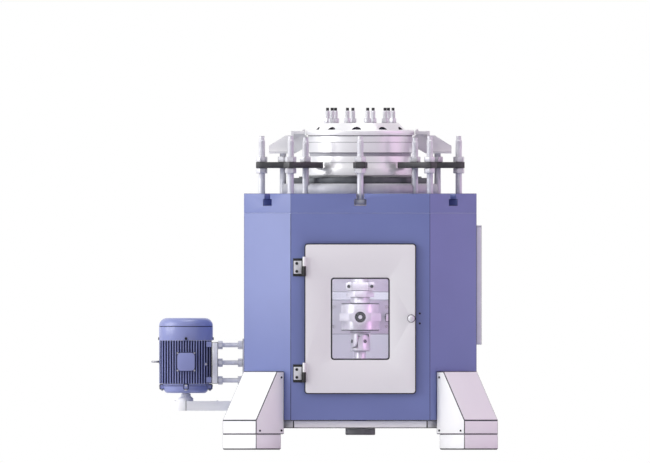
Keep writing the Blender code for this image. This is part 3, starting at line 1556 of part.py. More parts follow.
def rim_arm(angle):
    """A bracket on an inner stud whose nose steadies the wheel's upper rim flange."""
    foot_top = ARM_FOOT_Z + ARM_FOOT_THICK
    plate_low = ARM_PLATE_TOP - ARM_PLATE_THICK
    grip = BARREL_RADIUS + 3 * SLIP
    flange_low = WHEEL_LOW + WHEEL_TOP_FLANGE_LOW
    web_outline = [
        (ARM_TAIL, foot_top - ARM_FOOT_THICK / 2),
        (ARM_TAIL, ARM_TAIL_TOP),
        (ARM_SHOULDER, ARM_SHOULDER_Z),
        (ARM_PLATE_OUTER - ARM_PLATE_THICK / 2, ARM_SHOULDER_Z),
        (ARM_PLATE_OUTER - ARM_PLATE_THICK / 2, plate_low + ARM_PLATE_THICK / 2),
        (ARM_NOSE + 0.003, plate_low + ARM_PLATE_THICK / 2),
        (ARM_NOSE + 0.003, flange_low + 0.003),
        (grip, flange_low - 0.010),
        (grip, flange_low - 0.058),
        (grip + 0.028, flange_low - 0.070),
        (ARM_FOOT_INNER - 0.015, ARM_FOOT_Z),
        (ARM_FOOT_INNER + 0.002, ARM_FOOT_Z + 0.001),
    ]
    half_web = ARM_WEB_THICK / 2
    half = ARM_HALF_WIDTH
    arm = prism(web_outline, -half_web, half_web, "Y")
    fuse(
        arm,
        block((ARM_FOOT_INNER, -half, ARM_FOOT_Z), (ARM_TAIL, half, foot_top)),
        block(
            (ARM_PLATE_OUTER - ARM_PLATE_THICK, -half, ARM_PLATE_LOW),
            (ARM_PLATE_OUTER, half, ARM_PLATE_TOP),
        ),
        block((ARM_NOSE, -half, plate_low), (ARM_PLATE_OUTER - 0.001, half, ARM_PLATE_TOP - 0.0005)),
    )
    spot = (ARM_SCREW_AT, 0.0)
    wide = circle(ARM_SCREW_RADIUS, SMALL, spot)
    small = circle(ARM_SCREW_RADIUS * 0.5, SMALL, spot)
    top = ARM_PLATE_TOP
    dome = loft([(wide, top - 0.004), (wide, top + 0.005), (small, top + ARM_SCREW_HEIGHT)])
    return turned_to(fuse(arm, dome), angle)


# Assembly


def build():
    clear_scene()
    paints = {name: finish(name, *values) for name, values in FINISHES.items()}
    machine = pivot("machine_axis", (0.0, 0.0, 0.0))

    node("cabinet_shell", cabinet_shell(), paints["blue_paint"], machine)
    node("tslot_table", tslot_table(), paints["blue_paint"], machine)
    node("base_plate", base_plate(), paints["grey_paint"], machine)
    corners = {
        "front_right": -45.0,
        "rear_right": 45.0,
        "rear_left": 135.0,
        "front_left": 225.0,
    }
    for corner, degrees in corners.items():
        angle = math.radians(degrees)
        node("leg_" + corner, leg(angle), paints["white_paint"], machine)
        node("foot_" + corner, foot(angle), paints["white_paint"], machine)
    node("side_cover", side_cover(), paints["white_paint"], machine)

    hinge = pivot("door_hinge_axis", (HINGE_X, HINGE_Y, 0.0), machine)
    node("door_panel", door_panel(), paints["grey_paint"], hinge)
    node("door_glass", door_glass(), paints["clear_glass"], hinge)
    node("door_knob", door_knob(), paints["pale_plastic"], hinge)
    for name, bottom in zip(("hinge_leaf_lower", "hinge_leaf_upper"), HINGE_BOTTOMS):
        node(name, hinge_leaf(bottom), paints["plated_steel"], machine)

    node("motor_stud_pad", motor_stud_pad(), paints["plated_steel"], machine)
    node("motor_mount_plate", motor_mount_plate(), paints["white_paint"], machine)
    node("motor_frame", motor_frame(), paints["motor_paint"], machine)
    node("motor_fan_cowl", motor_fan_cowl(), paints["motor_paint"], machine)
    node("motor_end_shield", motor_end_shield(), paints["motor_paint"], machine)
    node("terminal_box", terminal_box(), paints["motor_paint"], machine)
    node("lifting_eye", lifting_eye(), paints["plated_steel"], machine)
    node("belt_guard", belt_guard(), paints["white_paint"], machine)
    node("drive_belt", drive_belt(), paints["belt_rubber"], machine)
    motor_axis = pivot("motor_axis", (MOTOR_X, 0.0, 0.0), machine)
    node("motor_rotor", motor_rotor(), paints["machined_steel"], motor_axis)

    node("spindle_housing", spindle_housing(), paints["dark_steel"], machine)
    node("lower_bearing_cap", lower_bearing_cap(), paints["dark_steel"], machine)
    spindle_axis = pivot("spindle_axis", (0.0, 0.0, JOINT_CENTRE), machine)
    steel = paints["machined_steel"]
    node("spindle_shaft", spindle_shaft(), steel, spindle_axis)
    node("spindle_pulley", spindle_pulley(), steel, spindle_axis)
    node("ujoint_lower_yoke", ujoint_lower_yoke(), steel, spindle_axis)
    node("ujoint_cross", ujoint_cross(), steel, spindle_axis)
    node("ujoint_upper_yoke", ujoint_upper_yoke(), steel, spindle_axis)
    node("load_head", load_head(), steel, spindle_axis)
    node("load_band", load_band(), steel, spindle_axis)

    node("load_shaft", load_shaft(), steel, machine)
    node("split_clamp", split_clamp(), steel, machine)
    node("load_hub", load_hub(), paints["plated_steel"], machine)
    node("test_wheel", test_wheel(), paints["wheel_paint"], machine)
    node("rim_seat", rim_seat(), paints["dark_steel"], machine)
    node("pedestal_ring", pedestal_ring(), paints["machined_steel"], machine)

    for i in range(CLAMP_COUNT):
        angle = math.tau * i / CLAMP_COUNT
        carries_arm = i % (CLAMP_COUNT // 2) == 0
        slide = pivot(f"clamp_slide_{i + 1}", (0.0, 0.0, 0.0), machine)
        carriage = clamp_carriage(angle, carries_arm)
        node(f"clamp_carriage_{i + 1}", carriage, paints["plated_steel"], slide)
        node(f"clamp_strap_{i + 1}", clamp_strap(angle), paints["black_steel"], slide)
        if carries_arm:
            name = "rim_arm_right" if i == 0 else "rim_arm_left"
            node(name, rim_arm(angle), paints["grey_paint"], slide)


build()
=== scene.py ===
# %% [markdown]
# # A rotary bending test bench for wheels
#
# A truck wheel stands on a slotted table and is clamped by its lower rim flange. A shaft hangs from
# its disc into the cabinet below, and a turning head on the shaft's end bends the wheel all round.
# This script dresses the bench: the CAD model is loaded as a fixed frame, and finer pieces and real
# finishes are built on it. Everything is in metres, and Z is up.

# %% Load the frame
import math

import bpy
from mathutils import Matrix, Vector


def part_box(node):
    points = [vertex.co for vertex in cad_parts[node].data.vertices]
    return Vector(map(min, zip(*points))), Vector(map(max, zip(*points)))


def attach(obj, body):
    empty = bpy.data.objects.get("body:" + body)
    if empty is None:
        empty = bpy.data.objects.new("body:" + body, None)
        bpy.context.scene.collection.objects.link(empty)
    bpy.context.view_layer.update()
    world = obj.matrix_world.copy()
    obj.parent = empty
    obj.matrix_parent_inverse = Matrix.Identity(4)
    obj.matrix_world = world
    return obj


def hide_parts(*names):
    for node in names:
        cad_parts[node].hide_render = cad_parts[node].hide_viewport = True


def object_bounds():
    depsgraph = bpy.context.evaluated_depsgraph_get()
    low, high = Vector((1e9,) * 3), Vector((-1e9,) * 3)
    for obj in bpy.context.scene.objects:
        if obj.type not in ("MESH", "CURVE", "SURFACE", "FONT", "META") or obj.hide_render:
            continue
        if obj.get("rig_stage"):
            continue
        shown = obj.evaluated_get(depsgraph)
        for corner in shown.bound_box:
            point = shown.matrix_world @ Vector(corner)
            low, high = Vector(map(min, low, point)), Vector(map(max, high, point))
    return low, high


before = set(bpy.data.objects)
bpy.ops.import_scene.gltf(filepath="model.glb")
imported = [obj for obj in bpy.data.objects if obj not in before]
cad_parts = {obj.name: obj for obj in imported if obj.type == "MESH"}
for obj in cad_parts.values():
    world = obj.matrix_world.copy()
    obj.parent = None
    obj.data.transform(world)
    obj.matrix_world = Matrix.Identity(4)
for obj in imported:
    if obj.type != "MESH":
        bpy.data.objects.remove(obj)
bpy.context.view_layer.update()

# %% [markdown]
# ## Where things are
#
# The spindle and the motor each turn about an upright axis. Both axes are read from the frame, so
# every turned piece lands exactly where the CAD has it.

# %% The two upright axes


def middle(node):
    """The centre of a CAD node's box."""
    low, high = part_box(node)
    return (low + high) / 2


def floor_of(node):
    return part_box(node)[0].z


def top_of(node):
    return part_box(node)[1].z


SX, MX = middle("spindle_shaft").x, middle("motor_fan_cowl").x
SPINDLE, MOTOR = (SX, 0.0), (MX, 0.0)
print("spindle axis", round(SX, 4), "motor axis", round(MX, 4))

# %% [markdown]
# ## Camera
#
# The picture is a flat front view with no perspective, so the camera is orthographic and level. Its
# scale is the width of the picture in metres.

# %% Camera
PIXELS_WIDE, PIXEL = 650, 0.0051
PICTURE_WIDTH = PIXELS_WIDE * PIXEL
VIEW_CENTRE = (SX - 0.180, 1.113)
CAMERA_DISTANCE = 8.0

camera_data = bpy.data.cameras.new("front_camera")
camera_data.type = "ORTHO"
camera_data.ortho_scale = PICTURE_WIDTH
camera_data.clip_end = 60.0
camera = bpy.data.objects.new("front_camera", camera_data)
bpy.context.scene.collection.objects.link(camera)
camera.location = (VIEW_CENTRE[0], -CAMERA_DISTANCE, VIEW_CENTRE[1])
camera.rotation_euler = (math.radians(90.0), 0.0, 0.0)
bpy.context.scene.camera = camera
bpy.context.scene.view_settings.view_transform = "Standard"
print("picture is", round(PICTURE_WIDTH, 3), "m wide")

# %% [markdown]
# ## Colours and nodes
#
# Two small helpers serve every finish. One turns a hex colour, as a paint chart gives it, to the
# linear values that the renderer works with. The other adds a shader node, sets it and links it.

# %% Helpers for materials


def linear(code):
    """An sRGB hex colour as linear red, green, blue and alpha."""
    values = []
    for i in (1, 3, 5):
        share = int(code[i : i + 2], 16) / 255
        values.append(share / 12.92 if share <= 0.04045 else ((share + 0.055) / 1.055) ** 2.4)
    return (*values, 1.0)


def add(tree, kind, settings=None, **links):
    """Add a node, set its properties and sockets, and link its inputs to other sockets."""
    made = tree.nodes.new("ShaderNode" + kind)
    for name, value in (settings or {}).items():
        if isinstance(name, int) or name in made.inputs:
            made.inputs[name].default_value = value
        else:
            setattr(made, name, value)
    for name, source in links.items():
        tree.links.new(source, made.inputs[name.replace("_", " ")])
    return made


print("white is", [round(v, 3) for v in linear("#FFFFFF")])

# %% [markdown]
# ## Studio
#
# The floor is a plain pale sheet. A broad soft light comes from the left, a weak lilac one from the
# right and a gentle one from above, so that the faces turned left are the brightest and those turned
# right are slightly violet. The world gives an even base light, and it shows white behind the bench
# and in its metal and glass. A light path tells the renderer which rays get which of the two.

# %% World
BASE_LIGHT = 0.37


def any_ray(tree, *kinds):
    """1 for a ray of any of these kinds, and 0 for all others."""
    path = add(tree, "LightPath")
    found = path.outputs[kinds[0]]
    for kind in kinds[1:]:
        larger = add(tree, "Math", {"operation": "MAXIMUM"})
        tree.links.new(found, larger.inputs[0])
        tree.links.new(path.outputs[kind], larger.inputs[1])
        found = larger.outputs[0]
    return found


world = bpy.data.worlds.new("studio")
world.use_nodes = True
bpy.context.scene.world = world
tree = world.node_tree
tree.nodes.clear()
shown = any_ray(tree, "Is Camera Ray", "Is Glossy Ray", "Is Transmission Ray")
lit = add(tree, "Background", {"Color": linear("#F4F4FA"), "Strength": BASE_LIGHT})
white = add(tree, "Background", {"Color": linear("#FFFFFF"), "Strength": 1.0})
both = add(tree, "MixShader")
for i, source in enumerate((shown, lit.outputs[0], white.outputs[0])):
    tree.links.new(source, both.inputs[i])
add(tree, "OutputWorld", Surface=both.outputs[0])
print("base light", BASE_LIGHT)

# %% Floor
FLOOR_SIZE, FLOOR_LIFT = 30.0, 0.14

bpy.ops.mesh.primitive_plane_add(size=FLOOR_SIZE, location=(0.0, 0.0, 0.0))
floor = bpy.context.object
floor.name = "studio_floor"
pale = bpy.data.materials.new("pale_floor_paint")
pale.use_nodes = True
tree = pale.node_tree
tree.nodes.clear()
lift = add(tree, "Math", {"operation": "MULTIPLY", 1: FLOOR_LIFT})
tree.links.new(any_ray(tree, "Is Camera Ray", "Is Glossy Ray"), lift.inputs[0])
matt = add(tree, "BsdfDiffuse", {"Color": linear("#EDEDEE")})
glow = add(tree, "Emission", {"Color": linear("#FFFFFF")}, Strength=lift.outputs[0])
both = add(tree, "AddShader")
for i, source in enumerate((matt, glow)):
    tree.links.new(source.outputs[0], both.inputs[i])
add(tree, "OutputMaterial", Surface=both.outputs[0])
floor.data.materials.append(pale)
floor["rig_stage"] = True
print("floor", FLOOR_SIZE, "m wide")

# %% [markdown]
# The big lights are suns with a wide angle, which gives soft shadows at any size of object.
# Inside the cabinet hang four work lamps, as such a test chamber has, out of sight behind the front
# wall. Without them the load head would be dark behind its window.

# %% Lamps


def lamp_of(name, kind, energy, colour, facing):
    """A lamp that shines from a direction."""
    data = bpy.data.lights.new(name, kind)
    data.energy = energy
    data.color = linear(colour)[:3]
    lamp = bpy.data.objects.new(name, data)
    bpy.context.scene.collection.objects.link(lamp)
    lamp.rotation_euler = facing.to_track_quat("Z", "Y").to_euler()
    return lamp


for name, source, strength, colour, angle in (
    ("key_from_left", (-0.92, -0.25, 0.30), 2.35, "#FFFFFF", 50.0),
    ("fill_from_right", (0.94, -0.24, 0.26), 0.62, "#FFA6F8", 60.0),
    ("top_light", (0.10, -0.10, 1.0), 0.8, "#FFFFFF", 30.0),
):
    lamp_of(name, "SUN", strength, colour, Vector(source)).data.angle = math.radians(angle)

HEAD, RAILS, BACK_WALL = (SX, 0.0, 0.66), (SX, 0.30, 0.62), (SX, 0.58, 0.60)
for side, spot, aim, watts, colour, size in (
    ("left", (SX - 0.40, -0.30, 0.78), HEAD, 1.5, "#FFFFFF", (0.12, 0.5)),
    ("right", (SX + 0.40, -0.30, 0.66), HEAD, 1.0, "#FFC0F8", (0.12, 0.5)),
    ("top", (SX, -0.46, 1.04), RAILS, 1.3, "#FFFFFF", (0.5, 0.1)),
    ("back", (SX, 0.32, 1.12), BACK_WALL, 2.3, "#FFFFFF", (0.6, 0.08)),
):
    lamp = lamp_of("chamber_lamp_" + side, "AREA", watts, colour, Vector(spot) - Vector(aim))
    lamp.data.shape = "RECTANGLE"
    lamp.data.size, lamp.data.size_y = size
    lamp.location = spot
    lamp.visible_camera = False

# %% [markdown]
# ## Finishes
#
# Every paint and metal starts in the same way. Its colour is never flat: a noise blends two near
# tones of it. The patterns follow the place on the piece, so they hold still when it moves.

# %% The start of a finish


def new_finish(name, colour):
    """A material, its nodes, its shader and the place that its patterns follow."""
    material = bpy.data.materials.new(name)
    material.use_nodes = True
    material.diffuse_color = linear(colour)
    tree = material.node_tree
    place = add(tree, "TexCoord").outputs["Object"]
    return material, tree, tree.nodes["Principled BSDF"], place


def two_tone(tree, shader, place, tones, scale, detail, ends):
    """Base colour in clouds of two tones, which change between two levels of the noise."""
    cloud = add(tree, "TexNoise", {"Scale": scale, "Detail": detail}, Vector=place)
    tone = add(tree, "ValToRGB", Fac=cloud.outputs["Fac"])
    for stop, position, code in zip(tone.color_ramp.elements, ends, tones):
        stop.position = position
        stop.color = linear(code)
    tree.links.new(tone.outputs["Color"], shader.inputs["Base Color"])


print("finish helpers ready")

# %% [markdown]
# Most of the bench is painted sheet steel. Sprayed machine enamel isn't a flat colour: it has a fine
# orange-peel skin, slow changes of tone, and small flecks of dust under the gloss. A noise of about
# 3 mm makes the skin, one of half a metre makes the tone, and one of 8 mm varies the gloss.

# %% Sprayed enamel


def enamel(name, colour, shade, roughness=0.42, peel=0.05, coat=0.15, metallic=0.0):
    """Sprayed enamel: a tone between two near colours, with an orange-peel skin."""
    material, tree, shader, place = new_finish(name, colour)
    two_tone(tree, shader, place, (shade, colour), 2.2, 3.0, (0.35, 0.65))
    gloss = add(tree, "TexNoise", {"Scale": 120.0, "Detail": 2.0}, Vector=place)
    limits = {"To Min": roughness - 0.05, "To Max": roughness + 0.07}
    span = add(tree, "MapRange", limits, Value=gloss.outputs["Fac"])
    tree.links.new(span.outputs["Result"], shader.inputs["Roughness"])
    skin = add(tree, "TexNoise", {"Scale": 330.0, "Detail": 1.0}, Vector=place)
    bump = add(tree, "Bump", {"Strength": peel, "Distance": 0.0004}, Height=skin.outputs["Fac"])
    tree.links.new(bump.outputs["Normal"], shader.inputs["Normal"])
    shader.inputs["Metallic"].default_value = metallic
    shader.inputs["Coat Weight"].default_value = coat
    shader.inputs["Coat Roughness"].default_value = 0.25
    return material


# Blue machine enamel: satin, slightly violet, as the cabinet and table are sprayed
BLUE_ENAMEL = enamel("blue_machine_enamel", "#737FB7", "#6E7AB1")
# Light grey powder coat: a little coarser and duller, on the door and the rim arms
GREY_POWDER = enamel("light_grey_powder_coat", "#F1F1F2", "#EDEDEE", 0.5, 0.08, 0.0)
# White powder coat: the legs, feet, side cover, motor plate and belt guard; on the grey base plate
# it is painted light
WHITE_POWDER = enamel("white_powder_coat", "#FAFAFA", "#F6F6F7", 0.5, 0.08, 0.0)
# Pale grey inside paint: matt, so that the chamber stays bright and even
INSIDE_PAINT = enamel("pale_grey_inside_paint", "#DEDEE6", "#D8D8E0", 0.6, 0.05, 0.0)
# Lilac blue enamel on cast aluminium: the motor's housing, glossier than the cabinet
MOTOR_ENAMEL = enamel("lilac_motor_enamel", "#9098CC", "#868EC2", 0.34, 0.12, 0.3)
# Silver white wheel lacquer, smooth and a little glossy
WHEEL_LACQUER = enamel("silver_white_wheel_lacquer", "#F6F6F7", "#EEEEF0", 0.30, 0.04, 0.3, 0.3)
# Lacquer in the rim's waist: greyer, as painted shade in the well
WAIST_SHADE_LACQUER = enamel("painted_shade_wheel_lacquer", "#B4B4BA", "#A2A2A8", 0.6, 0.1, 0.0)
print("enamels", [m.name for m in bpy.data.materials if "enamel" in m.name or "powder" in m.name])

# %% [markdown]
# Paint is thin on a sharp corner and is the first to rub through there, and the corner gathers
# grime. So each paint has a darker edge finish, which the narrow rounded corners get.

# %% Rubbed edges


def rubbed(name, colour, grime, metallic=0.0):
    """A worn corner: patches of two tones, duller than the paint beside it."""
    material, tree, shader, place = new_finish(name, colour)
    two_tone(tree, shader, place, (grime, colour), 40.0, 4.0, (0.42, 0.62))
    shader.inputs["Roughness"].default_value = 0.6
    shader.inputs["Metallic"].default_value = metallic
    return material


BLUE_EDGE = rubbed("rubbed_blue_edge", "#23294A", "#1B2038")
# The white edge finish is also painted shade in the wheel's holes and painted shadow under its upper
# flange.
WHITE_EDGE_AND_SHADE = rubbed("painted_shade_and_rubbed_white_edge", "#3C3C42", "#2C2C32")
GREY_EDGE = rubbed("rubbed_grey_edge", "#242428", "#1A1A1E")
MOTOR_EDGE = rubbed("rubbed_motor_edge", "#2A2E52", "#1C2038")
STEEL_EDGE = rubbed("oiled_steel_edge", "#48484E", "#303036", 0.3)
print("edge finishes", [m.name for m in bpy.data.materials if m.name.endswith("_edge")])

# %% [markdown]
# The bare metal is turned or drawn steel. A lathe tool leaves fine rings round the axis, so the
# noise is squeezed along Z: it changes every fraction of a millimetre up the piece and hardly at all
# round it. Zinc plating is smoother and has a cloudy tone. The true pitch of the tool marks is
# 0.2 mm, which no render here would show, so they are drawn 2 mm apart.

# %% Steel


def steel(name, colour, shade, roughness, metallic, rings=500.0, across=6.0, depth=0.15):
    """Bare or plated steel with tool marks that lie level, as turning about Z leaves them."""
    material, tree, shader, place = new_finish(name, colour)
    two_tone(tree, shader, place, (shade, colour), 25.0, 3.0, (0.3, 0.7))
    squeeze = add(tree, "Mapping", {"Scale": (across, across, rings)}, Vector=place)
    marks = add(tree, "TexNoise", {"Scale": 1.0, "Detail": 2.0}, Vector=squeeze.outputs["Vector"])
    limits = {"To Min": roughness - 0.06, "To Max": roughness + 0.10}
    span = add(tree, "MapRange", limits, Value=marks.outputs["Fac"])
    tree.links.new(span.outputs["Result"], shader.inputs["Roughness"])
    bump = add(tree, "Bump", {"Strength": depth, "Distance": 0.0003}, Height=marks.outputs["Fac"])
    tree.links.new(bump.outputs["Normal"], shader.inputs["Normal"])
    shader.inputs["Metallic"].default_value = metallic
    return material


# Turned steel, bright: the load head, yokes and load shaft
TURNED_STEEL = steel("bright_turned_steel", "#E4E3E8", "#D6D5DB", 0.38, 0.35)
# Ground steel: the pedestal ring and the lifting eye, greyer and duller than the turned pieces
GROUND_STEEL = steel("grey_ground_steel", "#B8B8BD", "#AAAAB0", 0.45, 0.35)
# Zinc plated steel: studs, nuts, sliders and hinge plates
ZINC_PLATE = steel("bright_zinc_plate", "#E4E4E8", "#D2D2D8", 0.34, 0.2, 500.0, 6.0, 0.08)
# Blackened bar: dark oxide, satin, on the clamp straps
BLACK_OXIDE = steel("blackened_bar_steel", "#4B4B4D", "#414143", 0.45, 0.5, 60.0, 60.0, 0.2)
# Dark turned steel: the rim seat, the upper bearing housing and the joint's cross
DARK_STEEL = steel("dark_turned_steel", "#5A5D62", "#4E5156", 0.42, 0.5)
# Grey casting: the lower bearing cover, dull and lighter than the rim seat; its light tone is
# painted light against the shade under the bench
CAP_GREY_WITH_PAINTED_LIGHT = steel("cap_grey_with_painted_light", "#C8C9CE", "#BABBC1", 0.6, 0.1, 40.0, 40.0, 0.2)
# Black steel: small socket heads, hinge leaves and the studs' driven tips; also the discs that paint
# the switch holes' shade
BLACK_STEEL_AND_SHADE = steel("black_screw_steel_and_painted_shade", "#1C1C1E", "#141416", 0.55, 0.2, 300.0, 300.0, 0.2)
print("steels", [m.name for m in bpy.data.materials if "steel" in m.name or "zinc" in m.name])

# %% [markdown]
# ## Modelling helpers
#
# An operator acts on everything that is selected, and loading the frame leaves the CAD nodes
# selected. So each step starts by choosing one object alone. Edges get their small radius from a
# Bevel modifier that is applied at once, and the new narrow faces take the second material slot.

# %% Select, apply, round and finish
SMOOTH_UP_TO = math.radians(35.0)


def alone(piece):
    """Select one object, and nothing else, and make it the active one."""
    bpy.ops.object.select_all(action="DESELECT")
    piece.select_set(True)
    bpy.context.view_layer.objects.active = piece


def settled(name):
    """Name the new object and put its place, turn and scale into its mesh."""
    piece = bpy.context.object
    piece.name = piece.data.name = name
    alone(piece)
    bpy.ops.object.transform_apply(location=True, rotation=True, scale=True)
    return piece


def modify(piece, kind, **settings):
    """Add a modifier, set it and apply it."""
    alone(piece)
    bpy.ops.object.modifier_add(type=kind)
    modifier = piece.modifiers[-1]
    for name, value in settings.items():
        setattr(modifier, name, value)
    bpy.ops.object.modifier_apply(modifier=modifier.name)
    return piece


def finish(piece, *materials):
    """Give a piece its materials. The first is the main one, the second is for its corners."""
    for material in materials:
        piece.data.materials.append(material)
    return piece


def dress(piece, width, *materials, segments=2, angle=30.0):
    """Finish a piece, round its sharp edges and shade the rest smooth."""
    finish(piece, *materials)
    edge_slot = 1 if len(piece.data.materials) > 1 else -1
    sharp = {"limit_method": "ANGLE", "angle_limit": math.radians(angle)}
    modify(piece, "BEVEL", width=width, segments=segments, material=edge_slot, **sharp)
    alone(piece)
    bpy.ops.object.shade_smooth_by_angle(angle=SMOOTH_UP_TO)
    return piece


def stands_for(piece, body, slot, *nodes):
    """The piece rides on a body and replaces CAD nodes, which it hides. The slot is not used."""
    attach(piece, body)
    if nodes:
        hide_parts(*nodes)
    return piece


print("smooth up to", round(math.degrees(SMOOTH_UP_TO)), "degrees")

# %% [markdown]
# Three ways of making a body cover most of the bench. A block is a cube at its size and place. A
# turned piece is drawn as half a section, point by point with the extrude operator, and spun about
# its axis. A piece cut from sheet or plate is drawn as an outline, filled and extruded.

# %% Block and line


def block(name, low, high):
    """A cube between two corners."""
    low, high = Vector(low), Vector(high)
    bpy.ops.mesh.primitive_cube_add(size=1.0, location=(low + high) / 2, scale=high - low)
    return settled(name)


def draw(name, points, closed):
    """A line through points, made by extruding one corner from each to the next."""
    bpy.ops.mesh.primitive_plane_add(size=0.001, location=points[0])
    piece = settled(name)
    bpy.ops.object.mode_set(mode="EDIT")
    bpy.ops.mesh.select_all(action="SELECT")
    bpy.ops.mesh.merge(type="CENTER")
    for before, after in zip(points, points[1:]):
        step = Vector(after) - Vector(before)
        bpy.ops.mesh.extrude_region_move(TRANSFORM_OT_translate={"value": step})
    bpy.ops.mesh.select_all(action="SELECT")
    if closed:
        bpy.ops.mesh.edge_face_add()
    return piece


def closed_up():
    """Turn the edited mesh's faces outwards and leave edit mode."""
    bpy.ops.mesh.select_all(action="SELECT")
    bpy.ops.mesh.normals_make_consistent(inside=False)
    bpy.ops.object.mode_set(mode="OBJECT")
    return bpy.context.object


def arc(centre, radius, angles):
    """Points round a centre at angles in degrees, for a section or an outline."""
    turned_to = [math.radians(angle) for angle in angles]
    return [(centre[0] + radius * math.cos(a), centre[1] + radius * math.sin(a)) for a in turned_to]


AXES = {"X": Vector((1, 0, 0)), "Y": Vector((0, 1, 0)), "Z": Vector((0, 0, 1))}
print("axes", list(AXES))

# %% Turned piece, plate and rod


def on_axis(axis, centre, radius, height):
    """The point at a radius and a height of a piece that turns about a line through centre."""
    first, second = centre
    return {
        "Z": (first + radius, second, height),
        "Y": (first + radius, height, second),
        "X": (height, first + radius, second),
    }[axis]


def turn(name, section, steps=64, centre=SPINDLE, axis="Z"):
    """Spin half a section, given as radius and height, into a closed body."""
    points = [on_axis(axis, centre, radius, height) for radius, height in section]
    if section[0][0] > 0.0 or section[-1][0] > 0.0:
        points.append(points[0])
    draw(name, points, closed=False)
    middle_point = on_axis(axis, centre, 0.0, 0.0)
    bpy.ops.mesh.spin(steps=steps, angle=math.tau, center=middle_point, axis=AXES[axis])
    bpy.ops.mesh.select_all(action="SELECT")
    bpy.ops.mesh.remove_doubles(threshold=0.00001)
    return closed_up()


def plate(name, outline, low, high, axis="Z"):
    """Fill an outline and extrude it along an axis."""
    place = {
        "Z": lambda a, b: (a, b, low),
        "Y": lambda a, b: (a, low, b),
        "X": lambda a, b: (low, a, b),
    }[axis]
    draw(name, [place(a, b) for a, b in outline], closed=True)
    bpy.ops.mesh.extrude_region_move(TRANSFORM_OT_translate={"value": AXES[axis] * (high - low)})
    return closed_up()


def rod(name, radius, low, high, centre=SPINDLE, axis="Z", sides=32):
    """A plain cylinder along an axis, used as a start or a cutter."""
    turned_to = {"Z": (0, 0, 0), "Y": (math.pi / 2, 0, 0), "X": (0, math.pi / 2, 0)}[axis]
    bpy.ops.mesh.primitive_cylinder_add(
        vertices=sides,
        radius=radius,
        depth=high - low,
        location=on_axis(axis, centre, 0.0, (low + high) / 2),
        rotation=turned_to,
    )
    return settled(name)


print("a turned piece has", turn.__defaults__[0], "steps")

# %% [markdown]
# Holes and joints between bodies are Booleans, applied at once. A copy gets a mesh of its own, and
# its place goes into that mesh, so that every object stays at the origin.

# %% Cut, join and copy


def cut(piece, *tools, how="DIFFERENCE"):
    """Cut tools away from a piece, or fuse or intersect them with it."""
    for tool in tools:
        modify(piece, "BOOLEAN", operation=how, solver="EXACT", object=tool)
        bpy.data.objects.remove(tool)
    return piece


def fuse(piece, *tools):
    return cut(piece, *tools, how="UNION")


def join(name, pieces):
    """Make one object of several that only lie against each other."""
    alone(pieces[0])
    for piece in pieces[1:]:
        piece.select_set(True)
    bpy.ops.object.join()
    pieces[0].name = pieces[0].data.name = name
    return pieces[0]


def moved(piece, matrix):
    piece.data.transform(matrix)
    return piece


def copied(piece, name, matrix):
    """A copy with its own mesh, moved in that mesh."""
    other = piece.copy()
    other.data = piece.data.copy()
    other.name = other.data.name = name
    bpy.context.scene.collection.objects.link(other)
    return moved(other, matrix)


def spread(template, name, places):
    """Copies of a template, one at each place, as one object. The template goes."""
    piece = join(name, [copied(template, name, place) for place in places])
    bpy.data.objects.remove(template)
    return piece


print("copies keep their own meshes")

# %% [markdown]
# What repeats stands in rings, so a move to an upright axis with a turn about it serves most copies.

# %% Moves


def shift(x, y, z):
    return Matrix.Translation((x, y, z))


def about(angle, centre=SPINDLE):
    """A move from the origin to an upright axis, and a turn about it by an angle in degrees."""
    return shift(*centre, 0.0) @ Matrix.Rotation(math.radians(angle), 4, "Z")


def towards(direction, place):
    """A move that takes +Z to a direction and the origin to a place."""
    turned_to = Vector(direction).to_track_quat("Z", "Y").to_matrix().to_4x4()
    return Matrix.Translation(place) @ turned_to


def outward(angle):
    """The level direction at an angle in degrees."""
    return Vector((math.cos(math.radians(angle)), math.sin(math.radians(angle)), 0.0))


FRONT = (0, -1, 0)
print("outward at 90 degrees", [round(v, 3) for v in outward(90)])

# %% [markdown]
# Where a CAD shape is right but its corners are sharp, the piece is a copy of the node. The copy's
# loose triangles are merged and its flat faces made whole, so that the bevel finds clean edges.

# %% Eased copy of a CAD node
FLAT = math.radians(1.0)


def softened(name, node, body, slot, width, *materials):
    """A merged copy of a CAD node with its corners eased, which replaces the node."""
    piece = copied(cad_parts[node], name, Matrix.Identity(4))
    piece.hide_render = piece.hide_viewport = False
    for key in [k for k in piece.keys() if k.startswith("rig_")]:
        del piece[key]
    piece.parent = None
    piece.data.materials.clear()
    alone(piece)
    bpy.ops.object.mode_set(mode="EDIT")
    bpy.ops.mesh.select_all(action="SELECT")
    bpy.ops.mesh.customdata_custom_splitnormals_clear()
    bpy.ops.mesh.remove_doubles(threshold=0.00002)
    bpy.ops.mesh.dissolve_limited(angle_limit=FLAT)
    bpy.ops.object.mode_set(mode="OBJECT")
    modify(piece, "TRIANGULATE", min_vertices=5)
    dress(piece, width, *materials)
    return stands_for(piece, body, slot, node)


print("faces flatter than", round(math.degrees(FLAT)), "degree are made one")

# %% [markdown]
# ## Cabinet
#
# The cabinet is welded from sheet: a square with cut corners, open at the door, with a deck for the
# spindle and two rails across its back. The CAD shape is right, so it is copied, merged, and given
# the small radius of a folded edge. Faces inside the walls get the pale inside paint, chosen by
# their place.

# %% Cabinet walls
WALL_FLAT = 0.355  # half the width of a wall between its cut corners

